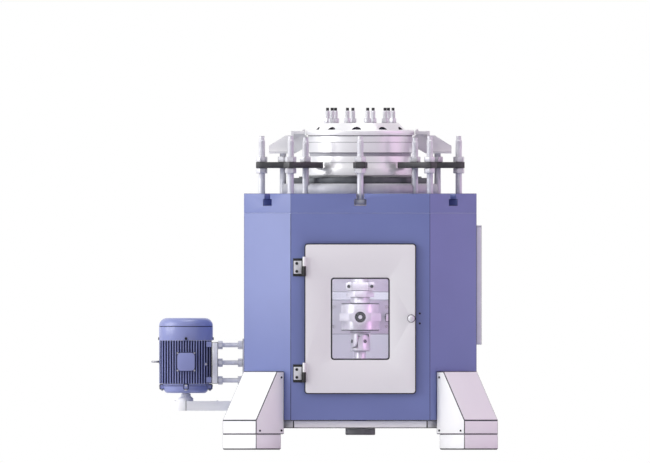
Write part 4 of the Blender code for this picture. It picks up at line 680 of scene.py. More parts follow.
shell_low, shell_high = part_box("cabinet_shell")
paints = (BLUE_ENAMEL, BLUE_EDGE, INSIDE_PAINT)
cabinet = softened("cabinet_walls", "cabinet_shell", "frame", "blue_paint", 0.0030, *paints)
half = (shell_high.x - shell_low.x) / 2
reach = (half + WALL_FLAT) / math.sqrt(2.0)
inside = 0
for face in cabinet.data.polygons:
    x, y, z = face.center
    x -= SX
    out = max(abs(x) / half, abs(y) / half, (abs(x) + abs(y)) / math.sqrt(2.0) / reach)
    if out < 0.99 and face.material_index == 0 and shell_low.z + 0.001 < z < shell_high.z - 0.001:
        face.material_index = 2
        inside += 1
    if z > shell_high.z - 0.0035 and out > 0.99:
        face.material_index = 0
print("inside faces", inside, "of", len(cabinet.data.polygons))

# %% [markdown]
# The table is a thick slab with eight T-slots that meet its round bore. The base plate, the four
# box legs and the blocks under them are eased in the same way. The legs are the palest pieces, so
# their rubbed corners are what draws them against a white background.

# %% Table, base plate, legs and feet
blues, whites = (BLUE_ENAMEL, BLUE_EDGE), (WHITE_POWDER, WHITE_EDGE_AND_SHADE)
table = softened("slotted_table", "tslot_table", "frame", "blue_paint", 0.0026, *blues)
for face in table.data.polygons:
    if face.center.z < floor_of("tslot_table") + 0.003:
        face.material_index = 0
# The base plate is grey paint, but takes the white powder coat: painted light against the shade
# under the cabinet.
softened("base_slab", "base_plate", "frame", "grey_paint", 0.0040, *whites)
for corner in ("front_right", "rear_right", "rear_left", "front_left"):
    softened("leg_box_" + corner, "leg_" + corner, "frame", "white_paint", 0.0042, *whites)
    softened("foot_block_" + corner, "foot_" + corner, "frame", "white_paint", 0.0042, *whites)
softened("side_cover_pan", "side_cover", "frame", "white_paint", 0.0040, *whites)
print("table at", round(top_of("tslot_table"), 4))

# %% [markdown]
# ## Small screws
#
# Dozens of small screws hold covers, rails and rims. Each kind is modelled once: a low head with a
# rounded rim, and a hexagon socket sunk into it. The copies are turned to face the right way.

# %% A socket screw
ORIGIN = (0.0, 0.0)


def socket_screw(name, radius, height, *materials):
    """A round screw head at the origin, facing up, with a hexagon socket."""
    section = [(0.0, -0.001), (radius, -0.001), (radius, height), (0.0, height)]
    screw = finish(turn(name, section, 24, ORIGIN), *materials)
    cut(screw, rod("socket", radius * 0.55, height * 0.35, height + 0.002, ORIGIN, sides=6))
    return dress(screw, radius * 0.12, angle=40.0)


def fixed(name, body, slot, radius, height, places, *materials):
    """Screw heads of one size at many places, as one piece."""
    screw = socket_screw("screw", radius, height, *materials)
    return stands_for(spread(screw, name, places), body, slot)


LEG_HALF = 0.1215
LEG_SCREWS = ((0.691, 0.369), (0.691, 0.098), (0.846, 0.097))
leg_places = []
for out in map(outward, (45, 135, 225, 315)):
    for side in (-1, 1):
        along = Vector((-out.y, out.x, 0.0)) * side
        for away, height in LEG_SCREWS:
            spot = Vector((*SPINDLE, height)) + out * away + along * LEG_HALF
            leg_places.append(towards(along, spot))
blacks = (BLACK_STEEL_AND_SHADE, STEEL_EDGE)
fixed("leg_side_screws", "frame", "plated_steel", 0.0055, 0.0030, leg_places, *blacks)
print("leg screws", len(leg_places))

# %% [markdown]
# ## Threads and nuts
#
# A thread is drawn as rings, one V for each turn. That isn't a true helix, but it looks the same
# from any distance and stays a simple turned shape. A nut is a six-sided rod whose corners are cut
# by a double cone, which leaves the curved chamfer lines that real nuts have.

# %% Thread section, nut and drilled wall
zincs = (ZINC_PLATE, STEEL_EDGE)


def thread(radius, low, high, pitch, depth):
    """Points of a threaded length, for the section of a turned piece."""
    points = []
    for i in range(round((high - low) / pitch)):
        points += [(radius, low + i * pitch), (radius - depth, low + (i + 0.5) * pitch)]
    return [*points, (radius, high)]


def hex_nut(name, across, low, high, chamfer, materials=zincs, sides=6):
    """A nut that stands upright at the origin."""
    wide = across / 2 / math.cos(math.pi / sides)
    nut = finish(rod(name, wide, low, high, ORIGIN, sides=sides), *materials)
    ends = [(0.0, low), (wide - chamfer, low), (wide + chamfer, low + chamfer)]
    ends += [(wide + chamfer, high - chamfer), (wide - chamfer, high), (0.0, high)]
    cut(nut, turn("cone", ends, 48, ORIGIN), how="INTERSECT")
    return dress(nut, 0.0026, angle=40.0)


def bored(tool):
    """Mark a cutter's faces, so that the wall of its hole takes the second material, as painted
    shade.
    """
    finish(tool, WHITE_EDGE_AND_SHADE, WHITE_EDGE_AND_SHADE)
    for face in tool.data.polygons:
        face.material_index = 1
    return tool


print("a 20 mm thread has", len(thread(0.01, 0.0, 0.02, 0.002, 0.001)), "points")

# %% [markdown]
# ## The wheel
#
# The rim is rolled from a steel hoop and the disc is pressed and welded in. Both are round, so one
# section spun about the axis gives them: lower flange, barrel with its waist, upper flange, the
# cone and the flat of the disc. The waist is painted greyer as painted shade, a strip under the
# upper flange is painted shadow, and grime draws thin lines where the hoop bends.

# %% Wheel section
WHEEL_LOW = floor_of("test_wheel")
DISC_TOP = top_of("test_wheel")
GRIME_LINES = (0.0700, 0.1217, 0.1747)
WAIST = (0.1020, 0.1200)
UPPER_FLANGE = 0.2050
GRIME_HALF = 0.0008
DISC_FLAT = 0.19675  # the radius where the flat of the disc turns into its cone

section = [
    (0.289, 0.0), (0.295, 0.006), (0.295, 0.0424), (0.2655, 0.0424), (0.2630, 0.0690),
    (0.2630, 0.0710), (0.2625, 0.1027), (0.258, 0.1027), (0.258, 0.1157), (0.2625, 0.1207),
    (0.2625, 0.1227), (0.2655, 0.1737), (0.2655, 0.1757), (0.2655, 0.2052), (0.2655, 0.2097),
    (0.276, 0.2097), (0.276, 0.2327), (0.270, 0.2387), (0.2539, 0.2097),
    (0.226, 0.2387), (DISC_FLAT, 0.2727), (0.1405, 0.2727), (0.1405, 0.2587), (0.18975, 0.2587),
    (0.212, 0.2317), (0.248, 0.1697), (0.248, 0.018), (0.260, 0.0),
]
wheel = turn("truck_wheel", [(r, WHEEL_LOW + z) for r, z in section], 128)
finish(wheel, WHEEL_LACQUER, WHITE_EDGE_AND_SHADE, WAIST_SHADE_LACQUER)
for face in wheel.data.polygons:
    height = face.center.z - WHEEL_LOW
    outside = 0.257 < math.hypot(face.center.x - SX, face.center.y) < 0.266
    # The waist takes the greyer lacquer: painted shade.
    if outside and WAIST[0] < height < WAIST[1]:
        face.material_index = 2
    # Faces just under the upper flange take the dark edge finish as painted shadow; at the kinks it
    # draws grime lines.
    if outside and (height > UPPER_FLANGE or min(abs(height - z) for z in GRIME_LINES) < GRIME_HALF):
        face.material_index = 1
print("wheel from", round(WHEEL_LOW, 4), "to", round(DISC_TOP, 4))

# %% [markdown]
# Ten bolt holes go straight through the flat of the disc. Ten hand holes go through its cone, so
# their cutter leans as the cone does. The walls of the holes are painted dark, as painted shade.

# %% Bolt holes and hand holes
BOLT_CIRCLE, BOLT_ANGLES = 0.1675, [-5.0 + 36.0 * i for i in range(10)]
HAND_RADIUS, HAND_ANGLES = 0.026, [13.0 + 36.0 * i for i in range(10)]
CONE_FALL, CONE_RUN = 0.034, 0.02925

low, high = DISC_TOP - 0.04, DISC_TOP + 0.02
bolt_hole = bored(rod("bolt_hole", 0.0125, low, high, (BOLT_CIRCLE, 0.0), sides=24))
cut(wheel, spread(bolt_hole, "bolt_holes", map(about, BOLT_ANGLES)))
lean = math.atan2(CONE_FALL, CONE_RUN)
hand_hole = bored(rod("hand_hole", HAND_RADIUS, -0.035, 0.007, ORIGIN, sides=40))
down = 0.020 + HAND_RADIUS * math.sin(lean)
tilt = Matrix.Rotation(lean, 4, "Y")
moved(hand_hole, shift(DISC_FLAT + down * CONE_RUN / CONE_FALL, 0, DISC_TOP - down) @ tilt)
cut(wheel, spread(hand_hole, "hand_holes", map(about, HAND_ANGLES)))
stands_for(dress(wheel, 0.0022), "frame", "wheel_paint", "test_wheel")
print("wheel", len(wheel.data.polygons), "faces")

# %% [markdown]
# The hub lies under the disc. Each of its ten studs has a thread and a reduced black end, and a nut
# with a collar holds the disc. The stud and nut are modelled once and set round the bolt circle.

# %% Hub, studs and nuts
TOUCH = 0.0003  # the gap between two pieces that only touch
HUB_TOP = top_of("load_hub")
STUD, STUD_PITCH = 0.0115, 0.0025
flange_top = DISC_TOP - 0.0143
tip = HUB_TOP - 0.015

section = [
    (0.0, flange_top - 0.030), (0.18675, flange_top - 0.030), (0.18675, flange_top),
    (0.140, flange_top), (0.140, DISC_TOP - 0.006), (0.060, DISC_TOP - 0.006),
    (0.056, DISC_TOP - 0.010), (0.0, DISC_TOP - 0.010),
]
hub = dress(turn("hub_flange", section, 96), 0.0012, *zincs)
section = [(0.0, flange_top - 0.003), (STUD, flange_top - 0.003), (STUD, DISC_TOP + 0.020)]
section += thread(STUD, DISC_TOP + 0.022, tip - 0.004, STUD_PITCH, 0.0006)
section += [(0.0085, tip), (0.0, tip)]
stud = dress(turn("wheel_stud", section, 24, ORIGIN), 0.0003, ZINC_PLATE, segments=1, angle=70.0)
end = dress(rod("stud_tip", 0.0085, tip - 0.001, HUB_TOP, ORIGIN, sides=6), 0.0010, *blacks)
low = DISC_TOP + TOUCH
nut = hex_nut("wheel_nut", 0.032, low + 0.004, low + 0.023, 0.0022)
collar = dress(rod("nut_collar", 0.0180, low, low + 0.0042, ORIGIN), 0.0008, *zincs)
stud = join("wheel_stud", [stud, end, nut, collar])
around = [about(a) @ shift(BOLT_CIRCLE, 0, 0) for a in BOLT_ANGLES]
hub = join("load_hub_with_studs", [hub, spread(stud, "wheel_studs", around)])
stands_for(hub, "frame", "plated_steel", "load_hub")
print("hub and ten studs", len(hub.data.polygons), "faces")

# %% [markdown]
# Under the wheel lie a dark turned seat, whose step centres the rim, and a thick pedestal ring. The
# ring is notched all round so that the inner clamp studs can pass.

# %% Rim seat and pedestal ring
CLAMP_ANGLES = [45.0 * i for i in range(8)]
INNER_STUD, OUTER_STUD = 0.394, 0.502
NOTCH = 0.0183

low = floor_of("rim_seat")
section = [
    (0.245, 0.0), (0.350, 0.0), (0.350, 0.029), (0.3126, 0.029), (0.3126, 0.036), (0.245, 0.036),
]
seat = turn("turned_rim_seat", [(r, low + z) for r, z in section], 128)
dress(seat, 0.0015, DARK_STEEL, STEEL_EDGE)
stands_for(seat, "frame", "dark_steel", "rim_seat")
low = floor_of("pedestal_ring")
section = [(0.272, 0.0), (0.398, 0.0), (0.398, 0.034), (0.390, 0.0497), (0.272, 0.0497)]
ring = turn("notched_ring", [(r, low + z) for r, z in section], 128)
finish(ring, GROUND_STEEL, STEEL_EDGE)
notch = rod("notch", NOTCH, low - 0.01, low + 0.08, (INNER_STUD, 0.0))
fuse(notch, block("notch_mouth", (INNER_STUD, -NOTCH, low - 0.01), (0.430, NOTCH, low + 0.08)))
cut(ring, spread(notch, "notches", map(about, CLAMP_ANGLES)))
stands_for(dress(ring, 0.0015), "frame", "machined_steel", "pedestal_ring")
print("ring and seat", len(ring.data.polygons) + len(seat.data.polygons), "faces")

# %% [markdown]
# ## Rim clamps
#
# Each clamp is a slider in its T-slot with two threaded studs. The strap is squeezed between nuts,
# and its nose presses the rim's lower flange down. The studs have a plain shank, a thread, and a
# thinner plain end that carries the lifting tool. Under the rim arms the inner stud is cut short.

# %% One clamp's studs and nuts
SLOT_TOP = top_of("tslot_table") - 0.030
STRAP_LOW, STRAP_TOP = floor_of("clamp_strap_1"), top_of("clamp_strap_1")
CLAMP_STUD, CLAMP_PITCH = 0.0165, 0.0036
CLAMP_NUT, CLAMP_NUT_HIGH = 0.050, 0.0267


def clamp_stud(name, at, top, plain=0.024):
    """A stud at a distance from the spindle, threaded where its nuts can go."""
    foot = SLOT_TOP - 0.012
    section = [(0.0, foot), (CLAMP_STUD, foot), (CLAMP_STUD, STRAP_LOW - 0.060)]
    section += thread(CLAMP_STUD, STRAP_LOW - 0.056, top - plain, CLAMP_PITCH, 0.0007)
    if plain:
        section += [(0.0130, top - 0.020), (0.0130, top)]
    made = turn(name, [*section, (0.0, top)], 32, (at, 0.0))
    return dress(made, 0.0006, *zincs, segments=1, angle=70.0)


def clamp_nut(name, at, low):
    """A nut on a clamp stud, turned by chance as a spanner leaves it."""
    nut = hex_nut(name, CLAMP_NUT, low, low + CLAMP_NUT_HIGH, 0.0035)
    return moved(nut, shift(at, 0, 0) @ Matrix.Rotation(math.radians(12.0 + 900 * at), 4, "Z"))


slider = block("slider", (0.365, -0.029, SLOT_TOP - 0.0273), (0.531, 0.029, SLOT_TOP - TOUCH))
carriage = join("carriage", [
    dress(slider, 0.0016, *zincs),
    clamp_stud("outer_stud", OUTER_STUD, 1.600),
    clamp_nut("outer_nut", OUTER_STUD, STRAP_TOP + TOUCH),
    clamp_nut("outer_low_nut", OUTER_STUD, STRAP_LOW - TOUCH - CLAMP_NUT_HIGH),
    clamp_nut("inner_nut", INNER_STUD, STRAP_TOP + TOUCH),
])
inner_stud = clamp_stud("inner_stud", INNER_STUD, 1.592)
short_stud = clamp_stud("short_stud", INNER_STUD, 1.5107, plain=0.0)
print("one clamp has", len(carriage.data.polygons) + len(inner_stud.data.polygons), "faces")

# %% Eight clamps
for i, angle in enumerate(CLAMP_ANGLES, 1):
    inner = short_stud if i in (1, 5) else inner_stud
    whole = [copied(carriage, "part", about(angle)), copied(inner, "part", about(angle))]
    studs = join(f"clamp_studs_{i}", whole)
    stands_for(studs, f"clamp_{i}", "plated_steel", f"clamp_carriage_{i}")
for template in (carriage, inner_stud, short_stud):
    bpy.data.objects.remove(template)
print("clamps", i)

# %% [markdown]
# The strap is sawn from flat bar and blackened. Its tail is tapered and its nose is cut at both
# corners. Two brackets stand on the studs in line with the motor, and their noses steady the
# wheel's upper flange: a web plate between a foot and an upright plate, with a domed screw on top.

# %% Straps and rim arms
outline = [
    (0.285, -0.0165), (0.305, -0.0365), (0.500, -0.0365), (0.532, -0.0225),
    (0.532, 0.0225), (0.500, 0.0365), (0.305, 0.0365), (0.285, 0.0165),
]
strap = finish(plate("strap", outline, STRAP_LOW, STRAP_TOP), BLACK_OXIDE, BLACK_STEEL_AND_SHADE)
for at in (INNER_STUD, OUTER_STUD):
    cut(strap, rod("stud_hole", 0.017, STRAP_LOW - 0.01, STRAP_TOP + 0.01, (at, 0.0), sides=40))
dress(strap, 0.0018)
for i, angle in enumerate(CLAMP_ANGLES, 1):
    one = copied(strap, f"flat_bar_strap_{i}", about(angle))
    stands_for(one, f"clamp_{i}", "black_steel", f"clamp_strap_{i}")
bpy.data.objects.remove(strap)
greys = (GREY_POWDER, GREY_EDGE)
for side, body in (("right", "clamp_1"), ("left", "clamp_5")):
    softened("arm_bracket_" + side, "rim_arm_" + side, body, "grey_paint", 0.0032, *greys)
print("straps and arms made")

# %% [markdown]
# ## Door
#
# The door is a pan folded from sheet, with a window let into it and a seal behind its rim. The pane
# is safety glass in a black rubber strip, which keeps splinters in if a shaft breaks.

# %% Glass and rubber


def pane_glass():
    """Clear safety glass: the view passes straight through, and it mirrors at a low angle."""
    material = bpy.data.materials.new("clear_safety_glass")
    material.use_nodes = True
    tree = material.node_tree
    shader = tree.nodes["Principled BSDF"]
    place = add(tree, "TexCoord").outputs["Object"]
    film = add(tree, "TexNoise", {"Scale": 9.0, "Detail": 4.0}, Vector=place)
    mirror = add(tree, "Fresnel", {"IOR": 1.45})
    limits = {"From Max": 0.6, "To Min": 0.03, "To Max": 0.9}
    share = add(tree, "MapRange", limits, Value=mirror.outputs["Fac"])
    tree.links.new(share.outputs["Result"], shader.inputs["Alpha"])
    span = add(tree, "MapRange", {"To Min": 0.02, "To Max": 0.12}, Value=film.outputs["Fac"])
    tree.links.new(span.outputs["Result"], shader.inputs["Roughness"])
    shader.inputs["Base Color"].default_value = linear("#EEF3F5")
    return material


# Safety glass: clear, with a faint film that breaks its shine
PANE_GLASS = pane_glass()
# Black rubber: dull and grainy, on the window's strip, the seals and the belt
BLACK_RUBBER = enamel("black_rubber", "#262628", "#1E1E20", 0.75, 0.3, 0.0)
# Polished pale ball: glossy turned plastic of the knob
POLISHED_BALL = enamel("polished_pale_plastic", "#E2E2E6", "#D8D8DD", 0.2, 0.0, 0.5)
# Painted shade: dull dark enamel in the gaps between the motor's fins, on the side fins' flanks, the
# web and the cable box's body
FIN_SHADOW = enamel("painted_shade_enamel_between_fins", "#3C4064", "#2E3150", 0.8, 0.1, 0.0)
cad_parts["door_glass"].material_slots[0].material = PANE_GLASS
print("glass and rubber made")

# %% Door, window strip and seal
DOOR_FRONT = -0.6183


def rounded(low, high, radius, steps=6):
    """A rectangle with round corners, from two opposite corners."""
    points = []
    for x, y, start in (
        (high[0] - radius, low[1] + radius, -90.0),
        (high[0] - radius, high[1] - radius, 0.0),
        (low[0] + radius, high[1] - radius, 90.0),
        (low[0] + radius, low[1] + radius, 180.0),
    ):
        points += arc((x, y), radius, [start + 90.0 * i / steps for i in range(steps + 1)])
    return points


def rubber_ring(name, outside, inside, front, back, edge):
    """A flat rubber ring on the door. A side is given as half width, low, high and radius."""
    outer, inner = (
        rounded((SX - wide, low), (SX + wide, high), radius)
        for wide, low, high, radius in (outside, inside)
    )
    ring = plate(name, outer, front, back, "Y")
    cut(ring, plate("opening", inner, front - 0.01, back + 0.01, "Y"))
    return stands_for(dress(ring, edge, BLACK_RUBBER), "door", "belt_rubber")


door = softened("folded_door", "door_panel", "door", "grey_paint", 0.0040, *greys)
outside, inside = (0.1498, 0.4582, 0.8778, 0.015), (0.1428, 0.4652, 0.8708, 0.009)
rubber_ring("window_strip", outside, inside, DOOR_FRONT + 0.0006, DOOR_FRONT + 0.0031, 0.0006)
outside, inside = (0.2850, 0.2840, 1.0520, 0.017), (0.2803, 0.2887, 1.0473, 0.012)
rubber_ring("door_seal", outside, inside, -0.6170, -0.5936, 0.0012)
print("door", len(door.data.polygons), "faces")

# %% [markdown]
# The knob is a turned ball on a neck, on a thin rubber washer. The two lift-off hinges are screwed
# to the cabinet with black socket screws, each through a bright plate.

# %% Knob
KNOB = (SX + 0.260, 0.669)
BALL, BALL_AT = 0.018, DOOR_FRONT - 0.032

low, high = DOOR_FRONT - 0.0022, DOOR_FRONT - 0.0002
washer = rod("knob_washer", 0.0205, low, high, KNOB, "Y", 48)
cut(washer, rod("washer_bore", 0.0093, DOOR_FRONT - 0.01, DOOR_FRONT + 0.01, KNOB, "Y"))
stands_for(dress(washer, 0.0005, BLACK_RUBBER), "door", "belt_rubber")
section = [(0.0, BALL_AT - BALL)]
section += arc((0.0, BALL_AT), BALL, [-90.0 + 152.0 * i / 14 for i in range(1, 15)])
section += [
    (0.0066, DOOR_FRONT - 0.009), (0.0066, DOOR_FRONT - 0.005), (0.009, DOOR_FRONT - 0.0025),
    (0.009, DOOR_FRONT - TOUCH), (0.004, DOOR_FRONT - TOUCH), (0.004, DOOR_FRONT + 0.0034),
    (0.009, DOOR_FRONT + 0.0034), (0.009, DOOR_FRONT + 0.0095), (0.0, DOOR_FRONT + 0.0095),
]
knob = dress(turn("ball_knob", section, 48, KNOB, "Y"), 0.0006, POLISHED_BALL, GREY_EDGE)
stands_for(knob, "door", "pale_plastic", "door_knob")
print("knob", len(knob.data.polygons), "faces")

# %% Hinges
hinge_places = []
for name in ("lower", "upper"):
    leaf = "hinge_leaf_" + name
    softened("hinge_half_" + name, leaf, "frame", "plated_steel", 0.0008, *blacks)
    low = floor_of(leaf)
    near, far = (SX - 0.3405, -0.6005, low + 0.013), (SX - 0.2990, -0.5985, low + 0.080)
    face_plate = dress(block("hinge_plate_" + name, near, far), 0.0008, *zincs)
    stands_for(face_plate, "frame", "plated_steel")
    for share in (0.28, 0.72):
        hinge_places.append(towards(FRONT, (SX - 0.324, -0.6005, low + 0.092 * share)))
fixed("hinge_screws", "frame", "black_steel", 0.0075, 0.0042, hinge_places, *blacks)
print("hinge screws", len(hinge_places))

# %% [markdown]
# ## Motor
#
# An upright motor with a cast frame. Its fins stand parallel in four groups, as the mould parts, and
# the gaps between them are painted dark, as painted shade. Four feet and a web carry it, and pads
# for the cable box, the earth screw and the lifting eye are cast on.

# %% Fins
FRAME_LOW, FRAME_HIGH = floor_of("motor_frame"), top_of("motor_frame")
FIN_TIP, CORE, PITCH, FIN_HALF = 0.1365, 0.119, 0.01339, 0.0029
BOX_FINS = 0.1275  # how far the fins behind the cable box reach
SIDE_ROOT, SIDE_TIP = 0.112, 0.1314  # the fins on the side of the web

# The core between the fins takes the dark enamel: painted shade in the gaps.
core = rod("motor_core", CORE, FRAME_LOW, FRAME_HIGH, MOTOR, sides=96)
cut(core, rod("stator_bore", 0.070, FRAME_LOW - 0.03, FRAME_HIGH - 0.012, MOTOR, sides=64))
cut(core, rod("shaft_bore", 0.0171, FRAME_HIGH - 0.03, FRAME_HIGH + 0.03, MOTOR))
parts = [dress(core, 0.0008, FIN_SHADOW)]
for i in range(-9, 10):
    across = i * PITCH
    tip_at = math.sqrt(FIN_TIP**2 - across**2)
    if abs(i) < 4:
        tip_at = min(tip_at, BOX_FINS)
    root_at = math.sqrt(CORE**2 - across**2) - 0.004 if abs(i) < 8 else 0.030
    left, right = MX + across - FIN_HALF, MX + across + FIN_HALF
    for near, far in ((-tip_at, -root_at), (root_at, tip_at)):
        fin = block("fin", (left, near, FRAME_LOW), (right, far, FRAME_HIGH))
        parts.append(dress(fin, 0.0008, MOTOR_ENAMEL, segments=1))
# The side fins' flanks are painted shade, and only their rounded edges take the enamel.
for j in range(-3, 4):
    along = j * PITCH
    tip_at = math.sqrt(FIN_TIP**2 - along**2)
    for near, far in ((MX - tip_at, MX - SIDE_ROOT), (MX + SIDE_ROOT, MX + SIDE_TIP)):
        fin = block("fin", (near, along - FIN_HALF, FRAME_LOW), (far, along + FIN_HALF, FRAME_HIGH))
        parts.append(dress(fin, 0.0010, FIN_SHADOW, MOTOR_ENAMEL, segments=1))
print("fins", len(parts) - 1)

# %% Feet, pads and the whole frame
FEET_Y, FEET_Z = (-0.080, 0.080), (0.357, 0.5375)
EARTH = (MX + 0.1016, 0.436)
EYE_HEIGHT = 0.449

lilacs = (MOTOR_ENAMEL, MOTOR_EDGE)
for y in FEET_Y:
    for z in FEET_Z:
        near, far = (MX + 0.101, y - 0.016, z - 0.0155), (MX + 0.1315, y + 0.016, z + 0.0155)
        parts.append(dress(block("foot", near, far), 0.0020, *lilacs))
# The web behind the fins is painted shade.
web = block("web", (MX + 0.090, -0.048, 0.349), (MX + 0.1315, 0.048, 0.545))
parts.append(dress(web, 0.0020, FIN_SHADOW, MOTOR_EDGE))
seat = block("box_seat", (MX - 0.048, -0.128, 0.399), (MX + 0.048, -0.100, 0.498))
parts.append(dress(seat, 0.0010, *lilacs))
parts.append(dress(rod("ground_boss", 0.0100, -0.099, -0.060, EARTH, "Y"), 0.0020, *lilacs))
eye_boss = rod("eye_boss", 0.0172, MX - 0.1330, MX - 0.100, (0.0, EYE_HEIGHT), "X")
parts.append(dress(eye_boss, 0.0014, *lilacs))
motor = join("finned_frame", parts)
stands_for(motor, "frame", "motor_paint", "motor_frame")
ground = [towards(FRONT, (EARTH[0], -0.099, EARTH[1]))]
fixed("ground_screw", "frame", "plated_steel", 0.0062, 0.0040, ground, *zincs)
print("motor frame", len(motor.data.polygons), "faces")

# %% [markdown]
# The fan's cowl is a deep-drawn cap with air slots and a rolled groove. The end shield below carries
# four lugs with the long bolts. Both are turned, and both have four small screws on their sides.

# %% Fan cowl
COWL, COWL_INSIDE = 0.1375, 0.135
COWL_CORNER, CORNER_OUTER, CORNER_INNER = (0.0965, 0.631), 0.041, 0.0385
GROOVE = (0.6265, 0.6305)


def round_motor(distance, height):
    """Four places on the motor's side, facing outwards."""
    return [towards(out, Vector((*MOTOR, height)) + out * distance)
            for out in map(outward, (0, 90, 180, 270))]


low = floor_of("motor_fan_cowl")
section = [(COWL, low), (COWL, GROOVE[0]), (0.1361, 0.6275), (0.1361, 0.6295), (COWL, GROOVE[1])]
section += arc(COWL_CORNER, CORNER_OUTER, [9.0 * i for i in range(1, 11)])
section += [(0.0, 0.672), (0.0, 0.6695), (0.0965, 0.6695)]
section += arc(COWL_CORNER, CORNER_INNER, [90.0 - 9.0 * i for i in range(1, 11)])
section.append((COWL_INSIDE, low))
cowl = finish(turn("fan_cowl_cap", section, 96, MOTOR), *lilacs)
slot = block("slot", (0.030, -0.004, 0.660), (0.088, 0.004, 0.690))
for face in cowl.data.polygons:
    outside = math.hypot(face.center.x - MX, face.center.y) > 0.1355
    if outside and GROOVE[0] < face.center.z < GROOVE[1]:
        face.material_index = 1
cut(cowl, spread(slot, "slots", [about(36.0 * i, MOTOR) for i in range(10)]))
stands_for(dress(cowl, 0.0006), "frame", "motor_paint", "motor_fan_cowl")
rim_places = round_motor(0.1372, 0.5665)
fixed("cowl_screws", "frame", "black_steel", 0.0070, 0.0045, rim_places, BLACK_STEEL_AND_SHADE, MOTOR_EDGE)
print("cowl", len(cowl.data.polygons), "faces")

# %% End shield
SHIELD_TOP = 0.3367

section = [(0.0196, 0.289), (0.092, 0.289)]
section += arc((0.092, 0.309), 0.020, [-90.0 + 11.25 * i for i in range(1, 9)])
section += [(0.112, SHIELD_TOP - 0.012), (0.119, SHIELD_TOP - 0.008)]
section += [(0.119, SHIELD_TOP), (0.0196, SHIELD_TOP)]
shield = dress(turn("end_shield_cap", section, 96, MOTOR), 0.0010, *lilacs)
lug = block("lug", (0.095, -0.014, SHIELD_TOP - 0.030), (0.1354, 0.014, SHIELD_TOP - 0.001))
dress(lug, 0.0050, *lilacs, segments=3)
bolt = hex_nut("bolt", 0.013, SHIELD_TOP - 0.036, SHIELD_TOP - 0.029, 0.0012)
lug = join("lug", [lug, moved(bolt, shift(0.122, 0, 0))])
lugs = spread(lug, "lugs", [about(90.0 * i, MOTOR) for i in range(4)])
shield = join("end_shield_with_lugs", [shield, lugs])
stands_for(shield, "frame", "motor_paint", "motor_end_shield")
lug_places = round_motor(0.1352, 0.327)
fixed("lug_screws", "frame", "plated_steel", 0.0058, 0.0016, lug_places, ZINC_PLATE, BLACK_STEEL_AND_SHADE)
print("shield", len(shield.data.polygons), "faces")

# %% [markdown]
# The cable box sits on a pad at the motor's front, with a lid and four bright screws. The lifting
# eye is a forged ring on a collar. On the side towards the cabinet the motor hangs on a thick plate,
# which six studs hold off the wall, so that nuts can set the belt's tension.

# %% Cable box
LID = 0.0118
LID_SCREW = 0.0052

low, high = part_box("terminal_box")
box = plate("box_body", rounded((low.x, low.z), (high.x, high.z), 0.005), low.y + 0.012, high.y, "Y")
lid_line = rounded((low.x + 0.002, low.z + 0.002), (high.x - 0.002, high.z - 0.002), 0.020)
# The box's body behind its lid is painted shade.
dress(box, 0.0008, FIN_SHADOW, MOTOR_EDGE)
lid = dress(plate("box_lid", lid_line, low.y, low.y + LID, "Y"), 0.0016, *lilacs)
box = join("cable_box", [box, lid])
stands_for(box, "frame", "motor_paint", "terminal_box")
lid_places = [
    towards(FRONT, (x, low.y + 0.0120, z))
    for x in (low.x + LID_SCREW, high.x - LID_SCREW)
    for z in (low.z + LID_SCREW, high.z - LID_SCREW)
]
fixed("lid_screws", "frame", "plated_steel", 0.0046, 0.0090, lid_places, ZINC_PLATE, MOTOR_EDGE)
print("cable box", len(box.data.polygons), "faces")

# %% Lifting eye
EYE_RING, EYE_WIRE = 0.0175, 0.0050

bpy.ops.mesh.primitive_torus_add(
    location=(MX - 0.1555, 0.0, EYE_HEIGHT),
    major_radius=EYE_RING,
    minor_radius=EYE_WIRE,
    major_segments=48,
    minor_segments=20,
)
eye = finish(settled("eye_ring"), GROUND_STEEL)
alone(eye)
bpy.ops.object.shade_smooth()
neck = rod("eye_neck", 0.0062, MX - 0.1400, MX - 0.1334, (0.0, EYE_HEIGHT), "X")
foot = rod("eye_collar", 0.0125, MX - 0.1370, MX - 0.1332, (0.0, EYE_HEIGHT), "X")
dress(neck, 0.0008, GROUND_STEEL, STEEL_EDGE)
eye = join("forged_lifting_eye", [eye, neck, dress(foot, 0.0008, *blacks)])
stands_for(eye, "frame", "plated_steel", "lifting_eye")
print("lifting eye", len(eye.data.polygons), "faces")

# %% Motor plate, pad, studs and nuts
MOUNT_STUD, MOUNT_PITCH, MOUNT_NUT = 0.012, 0.0030, 0.0238
MOUNT_ROWS = [shift(0, y, z) for y in (-0.080, 0.080) for z in (0.354, 0.444, 0.534)]

softened("motor_plate", "motor_mount_plate", "frame", "white_paint", 0.0024, *whites)
low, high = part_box("motor_stud_pad")
pad_left = high.x - 0.007
pad = dress(block("stud_pad", (pad_left, low.y, low.z), high), 0.0010, *zincs)
plate_left, plate_right = (corner.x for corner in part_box("motor_mount_plate"))
section = [(0.0, plate_left + 0.002), (MOUNT_STUD, plate_left + 0.002)]
section += [(MOUNT_STUD, plate_right + 0.010)]
section += thread(MOUNT_STUD, plate_right + 0.012, pad_left - 0.010, MOUNT_PITCH, 0.0006)
section += [(MOUNT_STUD, pad_left + 0.001), (0.0, pad_left + 0.001)]
stud = turn("mount_stud", section, 28, ORIGIN, "X")
parts = [dress(stud, 0.0003, ZINC_PLATE, segments=1, angle=70.0)]
for start in (plate_right + TOUCH, pad_left - 0.0240):
    nut = hex_nut("mount_nut", 0.037, 0.0, MOUNT_NUT, 0.0026)
    parts.append(moved(nut, towards((1, 0, 0), (start, 0, 0))))
studs = spread(join("mount_stud", parts), "studs", MOUNT_ROWS)
pad = join("stud_pad_with_studs", [pad, studs])
stands_for(pad, "frame", "plated_steel", "motor_stud_pad")
print("mount studs", len(MOUNT_ROWS))

